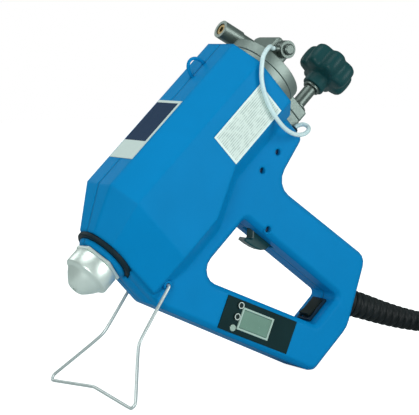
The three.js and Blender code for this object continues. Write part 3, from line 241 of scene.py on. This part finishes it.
# Bend relief
# A long black rubber sleeve that keeps the hose from kinking. It is moulded in one piece with a cuff against
# the casing and rings that grow smaller towards the hose.
relief_sides = 40
relief_bore, socket_radius, socket_depth, cuff_length = 0.0055, 0.0071, 0.012, 0.007
relief_profile = [(-0.0058, relief_bore), (-0.0058, 0.011), (-0.0033, 0.011), (-0.0033, 0.009),
                  (0.0003, 0.009), (0.0003, 0.0137), (0.0010, 0.0145), (0.0062, 0.0145),
                  (cuff_length, 0.0138)]
rib_count, first_crest, crest_fall = 12, 0.0126, 0.0031
rib_pitch = (relief_length - cuff_length) / rib_count
for rib in range(rib_count):
    rib_start = cuff_length + rib * rib_pitch
    crest = first_crest - crest_fall * rib / (rib_count - 1)
    for share, depth in ((0.05, 0.0018), (0.15, 0.0020), (0.27, 0.0017), (0.36, 0.0007), (0.45, 0.0001),
                         (0.6, 0.0), (0.82, 0.0), (0.92, 0.0004), (0.99, 0.0012)):
        relief_profile.append((rib_start + share * rib_pitch, crest - depth))
relief_profile += [(relief_length, 0.0084), (relief_length, socket_radius),
                   (relief_length - socket_depth, socket_radius), (relief_length - socket_depth, relief_bore)]
relief_profile += [(distance, relief_bore) for distance in (0.075, 0.05, 0.025)]


def piece_from(name, places, faces, material, body, replaced=()):
    """A new piece from its points and faces. It rides on a body where one is given."""
    mesh = bpy.data.meshes.new(name)
    mesh.from_pydata([tuple(p) for p in places], [], faces)
    work = bmesh.new()
    work.from_mesh(mesh)
    bmesh.ops.recalc_face_normals(work, faces=work.faces)
    work.to_mesh(mesh)
    work.free()
    mesh.materials.append(material)
    mesh.shade_smooth()
    mesh.set_sharp_from_angle(angle=math.radians(35))
    piece = bpy.data.objects.new(name, mesh)
    bpy.context.scene.collection.objects.link(piece)
    if body:
        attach(piece, body)
    if replaced:
        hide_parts(*replaced)
    return piece


def ring_faces(rings, sides, closed):
    """Faces between neighbouring rings of points, and from the last ring to the first where closed."""
    pairs = [(i, i + 1) for i in range(rings - 1)] + ([(rings - 1, 0)] if closed else [])
    return [(a * sides + s, a * sides + (s + 1) % sides, b * sides + (s + 1) % sides, b * sides + s)
            for a, b in pairs for s in range(sides)]


relief_places = []
for distance, radius in relief_profile:
    middle, direction = along_path(relief_line, relief_root + distance)
    upright = Vector((-direction.z, 0, direction.x))
    for side in range(relief_sides):
        angle = 2 * math.pi * side / relief_sides
        relief_places.append(
            middle + radius * (math.cos(angle) * upright + math.sin(angle) * Vector((0, 1, 0))))
relief_rubber = finish("relief_rubber", (0.006, 0.010, 0.011), 0.5, grain=1100, relief=0.16, drift=0.2,
                       gloss=0.25)
bend_relief = piece_from("ribbed_relief", relief_places, ring_faces(len(relief_profile), relief_sides, True),
                         relief_rubber, "gun", ["bend_relief"])

# Hose connector
# A black moulded plug clamped on the end of the hose, whose ribbed ring screws it to the supply unit. It lies
# on the coil.
plug_place = tail_end + end_gap * tail_direction


def turned_piece(name, profile, place, direction, material, body, replaced=(), sides=64,
                 flutes=0, flute_depth=0.0):
    """A turned piece. Its profile gives distances along the axis and radii, in millimetres."""
    axis = Vector(direction).normalized()
    side_way = axis.orthogonal().normalized()
    other_way = axis.cross(side_way)
    places, rings = [], []
    for along, radius in profile:
        ring = []
        for side in range(sides if radius > 0 else 1):
            angle = 2 * math.pi * side / sides
            cut = flute_depth * max(0.0, math.cos(flutes * angle))
            ring.append(len(places))
            places.append(Vector(place) + along / 1000 * axis + (radius - cut) / 1000
                          * (math.cos(angle) * side_way + math.sin(angle) * other_way))
        rings.append(ring)
    faces = []
    for low, high in zip(rings, rings[1:]):
        for side in range(sides):
            after = (side + 1) % sides
            corners = [low[side % len(low)], low[after % len(low)],
                       high[after % len(high)], high[side % len(high)]]
            corners = [c for i, c in enumerate(corners) if c not in corners[:i]]
            if len(corners) > 2:
                faces.append(corners)
    if len(rings[0]) > 1:
        faces += [[rings[-1][s], rings[-1][(s + 1) % sides], rings[0][(s + 1) % sides], rings[0][s]]
                  for s in range(sides)]
    return piece_from(name, places, faces, material, body, replaced)


plug_plastic = finish("plug_plastic", (0.016, 0.018, 0.019), 0.42, grain=1300, relief=0.16)
plug_body = turned_piece("plug_body", [
    (0, 0), (0, 7.4), (0.6, 8), (2.6, 9.6), (3.4, 10), (11.2, 10), (11.7, 9.6), (11.7, 8), (28.3, 8),
    (28.3, 9.6), (28.8, 10), (38.2, 10), (39, 9.4), (39, 8), (45.4, 8), (46, 7.4), (46, 6.2), (44.6, 6),
    (44.6, 0)], plug_place, tail_direction, plug_plastic, "gun", ["hose_connector"])
plug_ring = turned_piece("plug_ring", [
    (12, 8.3), (12, 10.8), (12.8, 11.5), (27.2, 11.5), (28, 10.8), (28, 8.3)],
    plug_place, tail_direction, plug_plastic, "connector_ring", ["connector_ring"],
    sides=96, flutes=24, flute_depth=0.5)

# Casing
# Two painted halves that meet on the middle plane and carry everything else. The barrel is eight-sided and
# narrows to the nose, and the handle closes a D under it. Steel screws and the trigger's pin hold the halves.
casing_paint = finish("casing_paint", (0.0008, 0.225, 0.53), 0.42, grain=1500, relief=0.06, drift=0.03,
                      uneven=0.05, gloss=0.05)
paint_nodes, paint_links = casing_paint.node_tree.nodes, casing_paint.node_tree.links
rounding = paint_nodes.new("ShaderNodeBevel")
rounding.samples = 8
rounding.inputs["Radius"].default_value = 0.0045
paint_links.new(rounding.outputs["Normal"], paint_nodes["Bump"].inputs["Normal"])


def softened(node, width, material, body, steps=3, angle=28):
    """A copy of a piece of the model, shown in its place, with its edges rounded by a width in millimetres."""
    mesh = cad_nodes[node].data.copy()
    work = bmesh.new()
    work.from_mesh(mesh)
    bmesh.ops.remove_doubles(work, verts=work.verts, dist=1e-5)
    bmesh.ops.dissolve_limit(work, angle_limit=math.radians(0.6), verts=work.verts, edges=work.edges)
    work.to_mesh(mesh)
    work.free()
    mesh.materials.clear()
    mesh.materials.append(material)
    mesh.shade_smooth()
    piece = bpy.data.objects.new(f"{node}_softened", mesh)
    bpy.context.scene.collection.objects.link(piece)
    edge = piece.modifiers.new("edge", "BEVEL")
    edge.width = width / 1000
    edge.segments = steps
    edge.limit_method = "ANGLE"
    edge.angle_limit = math.radians(angle)
    edge.harden_normals = True
    edge.miter_outer = "MITER_ARC"
    level = piece.modifiers.new("level", "WEIGHTED_NORMAL")
    level.keep_sharp = True
    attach(piece, body)
    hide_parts(node)
    return piece


for half in ("housing_left", "housing_right"):
    softened(half, 1.3, casing_paint, "gun", angle=20)
screw_steel = finish("screw_steel", (0.012, 0.035, 0.08), 0.45, metal=0.5, grain=2000, relief=0.1)
for fastener in ("housing_screw_1", "housing_screw_2", "trigger_pin"):
    softened(fastener, 0.4, screw_steel, "gun")

# Nose
# A rubber ring cushions the front of the casing. The nozzle is turned aluminium with a hexagon behind a plain
# band and a blunt cone, and screws onto the steel holder of the needle valve.
barrel_middle = Vector((-0.04344, 0, 0.18718))
along_barrel = Vector((0.731993, 0, 0.681312))
from_handle = Vector((-0.681312, 0, 0.731993))


def at(along, across, drop):
    """A place so many millimetres along the barrel, across the tool and below the barrel's axis."""
    return barrel_middle + (along * along_barrel - drop * from_handle) / 1000 + Vector((0, across / 1000, 0))


barrel_way = at(1, 0, 0) - at(0, 0, 0)
nose_rubber = finish("nose_rubber", (0.004, 0.018, 0.026), 0.5, grain=1200, relief=0.12, drift=0.15,
                     gloss=0.15)
turned_piece("nose_bumper", [
    (-101.1, 22.6), (-101.1, 26.9), (-100.2, 27.8), (-98.9, 28), (-97.6, 27.8), (-96.7, 26.9), (-96.7, 22.6)],
    at(0, 0, 0), barrel_way, nose_rubber, "gun", ["nose_ring"], sides=96)
turned_aluminium = finish("turned_aluminium", (0.8, 0.9, 0.85), 0.34, metal=0.72, grain=90, relief=0.06,
                          drift=0.06, stretch=(14, 1, 14))
turned_piece("nozzle_body", [
    (-138.6, 2.2), (-138.6, 4.4), (-138.3, 6.2), (-137.6, 7.7), (-136.4, 9.1), (-134, 11.4), (-130.5, 14.4),
    (-128.2, 16), (-126.8, 16.9), (-125.7, 17.9), (-124.9, 19.2), (-124.3, 20.2), (-123.7, 20.8),
    (-122.8, 21), (-110.2, 21), (-109.5, 20.6), (-109.5, 8.9), (-119, 8.9), (-119, 2.2)],
    at(0, 0, 0), barrel_way, turned_aluminium, "gun", ["nozzle"], sides=96)
turned_piece("nozzle_hexagon", [
    (-109.4, 8.9), (-109.4, 21.6), (-108.9, 22.5), (-106.3, 22.5), (-105.8, 21.6), (-105.8, 8.9)],
    at(0, 0, 0), barrel_way, turned_aluminium, "gun", (), sides=6)
holder_steel = finish("holder_steel", (0.42, 0.44, 0.44), 0.3, metal=1.0, grain=120, relief=0.1,
                      stretch=(10, 1, 10))
softened("nozzle_holder", 0.4, holder_steel, "gun")

# Labels
# Two printed plastic plates glued into shallow beds in the casing, the near one ruled with faint broken
# lines and the top one with a dark field and a pale one.
label_tilt = math.radians(43)
first_colour, second_colour, mixed_colour = 6, 7, 2  # sockets of a mix of two colours


def place_along_barrel(nodes, links):
    """The place on the tool, turned to run along the barrel, across it and up from the handle."""
    place = nodes.new("ShaderNodeTexCoord")
    turned = nodes.new("ShaderNodeMapping")
    turned.inputs["Rotation"].default_value = (0, label_tilt, 0)
    links.new(place.outputs["Object"], turned.inputs["Vector"])
    return turned


def two_colours(nodes, first, second=None):
    """A mix of two colours, the second of which may be linked later."""
    mix = nodes.new("ShaderNodeMix")
    mix.data_type = "RGBA"
    mix.inputs[first_colour].default_value = first
    if second:
        mix.inputs[second_colour].default_value = second
    return mix


def within(nodes, links, turned, limits):
    """A mask that is 1 where the place lies inside all the limits, in metres along the turned axes."""
    split = nodes.new("ShaderNodeSeparateXYZ")
    links.new(turned.outputs["Vector"], split.inputs["Vector"])
    mask = None
    for direction, side, limit in limits:
        test = nodes.new("ShaderNodeMath")
        test.operation = side
        test.inputs[1].default_value = limit
        links.new(split.outputs[direction], test.inputs[0])
        if mask:
            both = nodes.new("ShaderNodeMath")
            both.operation = "MULTIPLY"
            links.new(mask.outputs["Value"], both.inputs[0])
            links.new(test.outputs["Value"], both.inputs[1])
            test = both
        mask = test
    return mask


label_card = finish("label_card", (0.6, 0.72, 0.7), 0.45, grain=600, relief=0.05, drift=0.05, gloss=0.15)
label_nodes, label_links = label_card.node_tree.nodes, label_card.node_tree.links
label_turn = place_along_barrel(label_nodes, label_links)
rules = label_nodes.new("ShaderNodeTexWave")
rules.wave_type = "BANDS"
rules.bands_direction = "Z"
rules.inputs["Scale"].default_value = 152.0
rules.inputs["Distortion"].default_value = 0.0
label_links.new(label_turn.outputs["Vector"], rules.inputs["Vector"])
gaps = label_nodes.new("ShaderNodeTexNoise")
gaps.inputs["Scale"].default_value = 260.0
gaps.inputs["Detail"].default_value = 1.0
label_links.new(label_turn.outputs["Vector"], gaps.inputs["Vector"])
broken = label_nodes.new("ShaderNodeMath")
broken.operation = "MULTIPLY_ADD"
broken.inputs[1].default_value = 1.6
label_links.new(rules.outputs["Fac"], broken.inputs[2])
label_links.new(gaps.outputs["Fac"], broken.inputs[0])
faded = label_nodes.new("ShaderNodeMapRange")
faded.inputs["From Min"].default_value = 0.85
faded.inputs["From Max"].default_value = 1.25
label_links.new(broken.outputs["Value"], faded.inputs["Value"])
rule_shade = two_colours(label_nodes, (0.46, 0.57, 0.54, 1), (0.72, 0.84, 0.79, 1))
label_links.new(faded.outputs["Result"], rule_shade.inputs[0])
ruled_field = within(label_nodes, label_links, label_turn, (
    ("X", "GREATER_THAN", 0.1292), ("X", "LESS_THAN", 0.1910),
    ("Z", "GREATER_THAN", 0.1489), ("Z", "LESS_THAN", 0.1779)))
bordered = two_colours(label_nodes, (0.8, 0.95, 0.92, 1))
label_links.new(ruled_field.outputs["Value"], bordered.inputs[0])
label_links.new(rule_shade.outputs[mixed_colour], bordered.inputs[second_colour])
label_links.new(bordered.outputs[mixed_colour], label_nodes["Principled BSDF"].inputs["Base Color"])
softened("instruction_label", 0.12, label_card, "gun", steps=2)

top_card = finish("top_card", (0.62, 0.74, 0.71), 0.5, grain=500, relief=0.05, gloss=0.1)
top_nodes, top_links = top_card.node_tree.nodes, top_card.node_tree.links
top_turn = place_along_barrel(top_nodes, top_links)
field_shade = two_colours(top_nodes, (0.62, 0.74, 0.71, 1), (0.006, 0.030, 0.080, 1))
dark_field = within(top_nodes, top_links, top_turn, (
    ("X", "GREATER_THAN", 0.0864), ("X", "LESS_THAN", 0.1318), ("Y", "GREATER_THAN", -0.0160)))
top_links.new(dark_field.outputs["Value"], field_shade.inputs[0])
top_links.new(field_shade.outputs[mixed_colour], top_nodes["Principled BSDF"].inputs["Base Color"])
softened("front_label", 0.12, top_card, "gun", steps=2)

# Display panel
# A dark plate with a liquid-crystal display in a pale frame, two keys with pale rims and a pale status light,
# and the circuit board behind the wall.
plate_gloss = finish("plate_gloss", (0.006, 0.026, 0.028), 0.35, grain=900, relief=0.04, drift=0.15,
                     gloss=0.08)
softened("display_plate", 0.2, plate_gloss, "gun", steps=2)
frame_plastic = finish("frame_plastic", (0.4, 0.56, 0.49), 0.4, grain=1200, relief=0.06)
softened("display_frame", 0.35, frame_plastic, "gun")
crystal = finish("crystal", (0.15, 0.29, 0.225), 0.25, grain=300, relief=0.02, drift=0.08, coat=0.2)
softened("display_glass", 0.15, crystal, "gun", steps=2)
key_plastic = finish("key_plastic", (0.010, 0.022, 0.022), 0.4, grain=1500, relief=0.1, gloss=0.1)
key_rim = finish("key_rim", (0.56, 0.66, 0.62), 0.35, grain=1500, relief=0.06)
rim_gap = 0.0001
for key in ("button_up", "button_down"):
    softened(key, 0.5, key_plastic, key, angle=40)
    low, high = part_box(key)
    middle = (low + high) / 2
    turned_piece(f"{key}_rim", [(0, 2.2), (0, 3.0), (0.25, 3.1), (0.5, 3.0), (0.5, 2.3), (0.25, 2.2)],
                 (middle.x, low.y - rim_gap, middle.z), (0, -1, 0), key_rim, key, (), sides=40)
lens_plastic = finish("lens_plastic", (0.36, 0.5, 0.43), 0.2, grain=500, relief=0.02, coat=0.4)
softened("status_lens", 0.5, lens_plastic, "gun", angle=40)
board_green = finish("board_green", (0.01, 0.12, 0.06), 0.45, grain=700, relief=0.2, drift=0.25)
softened("circuit_board", 0.15, board_green, "gun", steps=2)

# Handle pieces
# The trigger swings on its pin and pushes the plunger of the air valve. The mains switch is set in the end
# wall of the D, with a two-way rocker in a raised bezel.
trigger_plastic = finish("trigger_plastic", (0.010, 0.062, 0.064), 0.3, grain=1300, relief=0.08, drift=0.12,
                         gloss=0.35)
softened("trigger", 1.0, trigger_plastic, "trigger", steps=4, angle=20)
bezel_plastic = finish("bezel_plastic", (0.008, 0.028, 0.05), 0.4, grain=1300, relief=0.08, gloss=0.1)
softened("switch_bezel", 0.5, bezel_plastic, "gun")
rocker_plastic = finish("rocker_plastic", (0.012, 0.020, 0.018), 0.35, grain=1500, relief=0.05, gloss=0.1)
softened("switch_rocker", 0.5, rocker_plastic, "rocker")
softened("switch_body", 0.4, bezel_plastic, "gun")

# Tank flange, lid and clamp
# The cast flange closes the back of the tank and its lug takes the clamp screw. The lid swings about that
# screw once the knob has let it go, and a rubber ring seals it.
cast_metal = finish("cast_metal", (0.24, 0.3, 0.275), 0.46, metal=0.8, grain=1100, relief=0.45, drift=0.12,
                    uneven=0.12)
softened("tank_flange", 0.7, cast_metal, "gun")
softened("tank_lid", 0.9, cast_metal, "lid")
bright_steel = finish("bright_steel", (0.13, 0.165, 0.15), 0.36, metal=0.85, grain=160, relief=0.08,
                      stretch=(8, 1, 8))
softened("thrust_washer", 0.3, bright_steel, "clamp_washer", steps=2)
for turned_steel in ("clamp_spindle", "spindle_collar"):
    softened(turned_steel, 0.4, bright_steel, "clamp_knob", steps=2)

# Star knob
# Moulded in one piece with its neck, dark and slightly glossy, with seven shallow lobes for the fingers.
knob_plastic = finish("knob_plastic", (0.008, 0.056, 0.060), 0.36, grain=1200, relief=0.04, drift=0.1,
                      gloss=0.16)
knob_lobes, lobe_depth, spindle_drop = 7, 4.2, 49
knob_rings = [  # distance along the barrel, radius, and share of the lobes' depth
    (158.4, 6.2, 0), (155.8, 6.2, 0), (155.8, 9.6, 0), (156.1, 10.2, 0), (156.7, 10.5, 0), (164.2, 10.6, 0),
    (165.6, 11.0, 0), (166.4, 12.2, 0.1), (166.7, 14.5, 0.3), (166.9, 18.0, 0.6), (167.3, 20.6, 0.8),
    (168.1, 22.6, 0.92), (169.3, 23.9, 1), (171.2, 24.8, 1), (174.5, 25.3, 1), (178.8, 25.5, 1),
    (183, 25.3, 1), (186.2, 24.8, 1), (188.2, 23.8, 1), (189.6, 22.3, 0.95), (190.5, 20.2, 0.85),
    (190.9, 17.5, 0.65), (191, 14.0, 0.35), (190.8, 9.0, 0.1), (190.6, 4.0, 0)]
knob_sides = 140
knob_places = []
knob_middle = at(0, 0, spindle_drop)
knob_up = at(0, 0, -1) - at(0, 0, 0)
for along, radius, lobe in knob_rings:
    for side in range(knob_sides):
        angle = 2 * math.pi * side / knob_sides
        valley = (1 - math.cos(knob_lobes * angle)) / 2
        reach = radius - lobe * lobe_depth * valley ** 1.5
        knob_places.append(knob_middle + along * barrel_way
                           + reach * (math.sin(angle) * knob_up + Vector((0, math.cos(angle) / 1000, 0))))
knob_faces = ring_faces(len(knob_rings), knob_sides, False)
knob_faces.append(tuple(range(knob_sides)))
knob_faces.append(tuple(range((len(knob_rings) - 1) * knob_sides, len(knob_rings) * knob_sides)))
piece_from("clamp_knob", knob_places, knob_faces, knob_plastic, "clamp_knob", ["star_knob"])

# Air pieces on the lid
# The valve block is cast and bolted down. The relief valve stands off its far side with a wider sleeve and a
# brass seat in its mouth, and the air fitting with its domed bolt is on the near side.
softened("valve_block", 0.8, cast_metal, "lid", steps=4)
relief_metal = finish("relief_metal", (0.19, 0.235, 0.215), 0.4, metal=0.85, grain=130, relief=0.1, drift=0.1,
                      stretch=(1, 8, 1))
softened("relief_valve", 0.6, relief_metal, "lid")
seat_brass = finish("seat_brass", (0.28, 0.2, 0.08), 0.4, metal=0.9, grain=900, relief=0.1)
softened("relief_valve_seat", 0.4, seat_brass, "lid")
softened("air_fitting", 0.6, bright_steel, "lid")

# Air tube
# A white nylon tube pushed onto the fitting's spigot. It rounds the edge of the lid, runs down the side of
# the barrel and turns back in a short loop into its gland, which gives it the length to follow the lid.
tube_radius, spigot_length = 0.002, 0.0123
tube_route = [
    (134.9, -23.8, -19.5), (133.2, -27.2, -22.8), (129.2, -32.4, -26.2), (122, -37, -28.2),
    (114, -41.2, -28.4), (106, -43.4, -24), (98.8, -43.4, -16.4), (92.6, -43.4, -5), (88.8, -43.4, 7),
    (87.2, -43.2, 20), (88.6, -41.2, 33), (93.4, -37.8, 44.6), (99.6, -34.4, 52.4), (106.6, -30.6, 57.6),
    (113.2, -26.2, 60.2), (117.2, -20.8, 60.4), (117.2, -16, 58), (112.4, -12.5, 56), (110.4, -12.5, 56)]
spigot_way = (at(134.9, 0, -19.5) - at(145.3, 0, -8)).normalized()
tube_start = at(145.3, -23.3, -8) + spigot_length * spigot_way
tube_line = smooth_path([tube_start, *[at(*place) for place in tube_route]], 8)
tube_sides = 20
tube_places = []
way = (tube_line[1] - tube_line[0]).normalized()
side_way = way.orthogonal().normalized()
for i, middle in enumerate(tube_line):
    way = (tube_line[min(i + 1, len(tube_line) - 1)] - tube_line[max(i - 1, 0)]).normalized()
    side_way = (side_way - way * side_way.dot(way)).normalized()
    other_way = way.cross(side_way)
    tube_places += [middle + tube_radius * (math.cos(a) * side_way + math.sin(a) * other_way)
                    for a in (2 * math.pi * s / tube_sides for s in range(tube_sides))]
tube_faces = ring_faces(len(tube_line), tube_sides, False)
tube_faces += [tuple(range(tube_sides)),
               tuple(range((len(tube_line) - 1) * tube_sides, len(tube_line) * tube_sides))]
tube_nylon = finish("tube_nylon", (0.66, 0.84, 0.86), 0.28, grain=400, relief=0.03, drift=0.04)
nylon = tube_nylon.node_tree.nodes["Principled BSDF"]
nylon.inputs["Subsurface Weight"].default_value = 0.25
nylon.inputs["Subsurface Radius"].default_value = (0.002, 0.0025, 0.0025)
tube = piece_from("nylon_tube", tube_places, tube_faces, tube_nylon, None, ["air_tube"])
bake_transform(tube)
softened("tube_gland", 0.4, bezel_plastic, "gun")

# Wire stand
# One length of spring steel wire, bent into two legs and a foot with its middle pushed in. Its ends turn into
# the casing through two blue bushes.
stand_steel = finish("stand_steel", (0.6, 0.67, 0.66), 0.32, metal=0.55, grain=300, relief=0.05)


def rounded_wire(node, material, body, name):
    """A thin wire of the model with its sides rounded. It rides on a body where one is given."""
    mesh = cad_nodes[node].data.copy()
    work = bmesh.new()
    work.from_mesh(mesh)
    bmesh.ops.remove_doubles(work, verts=work.verts, dist=1e-6)
    bmesh.ops.join_triangles(work, faces=work.faces, angle_face_threshold=1.0, angle_shape_threshold=2.0)
    work.to_mesh(mesh)
    work.free()
    mesh.materials.clear()
    mesh.materials.append(material)
    mesh.shade_smooth()
    mesh.set_sharp_from_angle(angle=math.radians(60))
    piece = bpy.data.objects.new(name, mesh)
    bpy.context.scene.collection.objects.link(piece)
    rounder = piece.modifiers.new("rounder", "SUBSURF")
    rounder.levels = rounder.render_levels = 1
    if body:
        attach(piece, body)
    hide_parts(node)
    return piece


rounded_wire("stand_wire", stand_steel, "stand", "stand_frame")
for bush in ("stand_bush_left", "stand_bush_right"):
    softened(bush, 0.5, casing_paint, "stand")

# Hanging eye
# A steel wire bent into an eye and painted with the casing. It is set into the top of the barrel and takes
# the hook of a balancer.
rounded_wire("hanging_eye", casing_paint, "gun", "eye_wire")

# Inside the casing
# The tank with its heater, insulation and sensors, the needle valve, the air valve behind the trigger, and
# the hoses and wires between them.
tank_metal = finish("tank_metal", (0.36, 0.38, 0.37), 0.5, metal=1.0, grain=800, relief=0.3)
softened("tank", 0.5, tank_metal, "gun")
heater_steel = finish("heater_steel", (0.4, 0.39, 0.36), 0.35, metal=1.0, grain=100, relief=0.15,
                      stretch=(1, 9, 1), drift=0.15)
softened("heater_bands", 0.4, heater_steel, "gun", steps=2)
glass_wool = finish("glass_wool", (0.66, 0.62, 0.52), 0.95, grain=260, relief=0.9, drift=0.14)
softened("insulation_sleeve", 0.6, glass_wool, "gun", steps=2)
softened("temperature_sensor", 0.4, bright_steel, "gun", steps=2)
case_plastic = finish("case_plastic", (0.03, 0.035, 0.035), 0.4, grain=1200, relief=0.1)
for case in ("safety_thermostat", "terminal_block"):
    softened(case, 0.4, case_plastic, "gun")
softened("shutoff_needle", 0.2, bright_steel, "needle", steps=2)
softened("valve_plunger", 0.3, bright_steel, "plunger", steps=2)
softened("air_valve_body", 0.5, relief_metal, "gun")
seal_rubber = finish("seal_rubber", (0.02, 0.012, 0.01), 0.6, grain=1000, relief=0.15)
softened("lid_seal", 0.4, seal_rubber, "gun", steps=2)
for spring, moved_by in (("needle_spring", "needle"), ("trigger_spring", "plunger")):
    wire = rounded_wire(spring, bright_steel, None, f"{moved_by}_coil")
    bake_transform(wire)
for hose_use in ("feed_hose", "inlet_hose"):
    rounded_wire(f"air_{hose_use}", tube_nylon, "gun", hose_use)
rounded_wire("wire_loom", relief_rubber, "gun", "loom")

# Studio
# A pale floor under pale air, both white to the camera, with soft round lamps from above, both sides and
# behind. Reflections show the lit floor and the dimmer air.
scene = bpy.context.scene
scene.view_settings.view_transform = "Standard"
world = bpy.data.worlds.new("studio_air")
scene.world = world
world.use_nodes = True
air_nodes, air_links = world.node_tree.nodes, world.node_tree.links
air_nodes["Background"].inputs["Color"].default_value = (0.8, 0.95, 0.92, 1)
air_nodes["Background"].inputs["Strength"].default_value = 0.3
white_air = air_nodes.new("ShaderNodeBackground")
white_air.inputs["Color"].default_value = (1, 1, 1, 1)
white_air.inputs["Strength"].default_value = 1.0
air_path = air_nodes.new("ShaderNodeLightPath")
air_choice = air_nodes.new("ShaderNodeMixShader")
air_links.new(air_path.outputs["Is Camera Ray"], air_choice.inputs["Fac"])
air_links.new(air_nodes["Background"].outputs["Background"], air_choice.inputs[1])
air_links.new(white_air.outputs["Background"], air_choice.inputs[2])
air_links.new(air_choice.outputs["Shader"], air_nodes["World Output"].inputs["Surface"])

floor_reach, floor_level = 4, -0.0004
floor_mesh = bpy.data.meshes.new("studio_floor")
floor_mesh.from_pydata([(x * floor_reach, y * floor_reach, floor_level)
                        for x, y in ((-1, -1), (1, -1), (1, 1), (-1, 1))], [], [(0, 1, 2, 3)])
floor = bpy.data.objects.new("studio_floor", floor_mesh)
scene.collection.objects.link(floor)
floor_paper = bpy.data.materials.new("floor_paper")
floor_paper.use_nodes = True
paper_nodes, paper_links = floor_paper.node_tree.nodes, floor_paper.node_tree.links
paper = paper_nodes["Principled BSDF"]
paper.inputs["Base Color"].default_value = (0.6, 0.64, 0.64, 1)
paper.inputs["Roughness"].default_value = 0.9
paper_white = paper_nodes.new("ShaderNodeEmission")
paper_white.inputs["Color"].default_value = (1, 1, 1, 1)
paper_white.inputs["Strength"].default_value = 0.93
paper_path = paper_nodes.new("ShaderNodeLightPath")
paper_seen = paper_nodes.new("ShaderNodeMath")
paper_seen.operation = "MAXIMUM"
paper_links.new(paper_path.outputs["Is Camera Ray"], paper_seen.inputs[0])
paper_links.new(paper_path.outputs["Is Transmission Ray"], paper_seen.inputs[1])
paper_sum = paper_nodes.new("ShaderNodeAddShader")
paper_choice = paper_nodes.new("ShaderNodeMixShader")
paper_links.new(paper.outputs["BSDF"], paper_sum.inputs[0])
paper_links.new(paper_white.outputs["Emission"], paper_sum.inputs[1])
paper_links.new(paper_seen.outputs["Value"], paper_choice.inputs["Fac"])
paper_links.new(paper.outputs["BSDF"], paper_choice.inputs[1])
paper_links.new(paper_sum.outputs["Shader"], paper_choice.inputs[2])
paper_links.new(paper_choice.outputs["Shader"], paper_nodes["Material Output"].inputs["Surface"])
floor_mesh.materials.append(floor_paper)

lamps_look_at = Vector((0, 0, 0.15))
for lamp_name, lamp_place, lamp_size, lamp_power in (
        ("key_lamp", (-1.5, -1.3, 0.55), 0.9, 14), ("fill_lamp", (0.9, -1.6, 0.6), 1.2, 15),
        ("top_lamp", (-0.4, -0.1, 1.8), 1.4, 10), ("rim_lamp", (-0.6, 1.4, 1.1), 1.0, 4)):
    lamp_data = bpy.data.lights.new(lamp_name, "AREA")
    lamp_data.shape = "DISK"
    lamp_data.size = lamp_size
    lamp_data.energy = lamp_power
    lamp = bpy.data.objects.new(lamp_name, lamp_data)
    scene.collection.objects.link(lamp)
    lamp.location = lamp_place
    lamp.rotation_euler = (lamps_look_at - lamp.location).to_track_quat("-Z", "Y").to_euler()
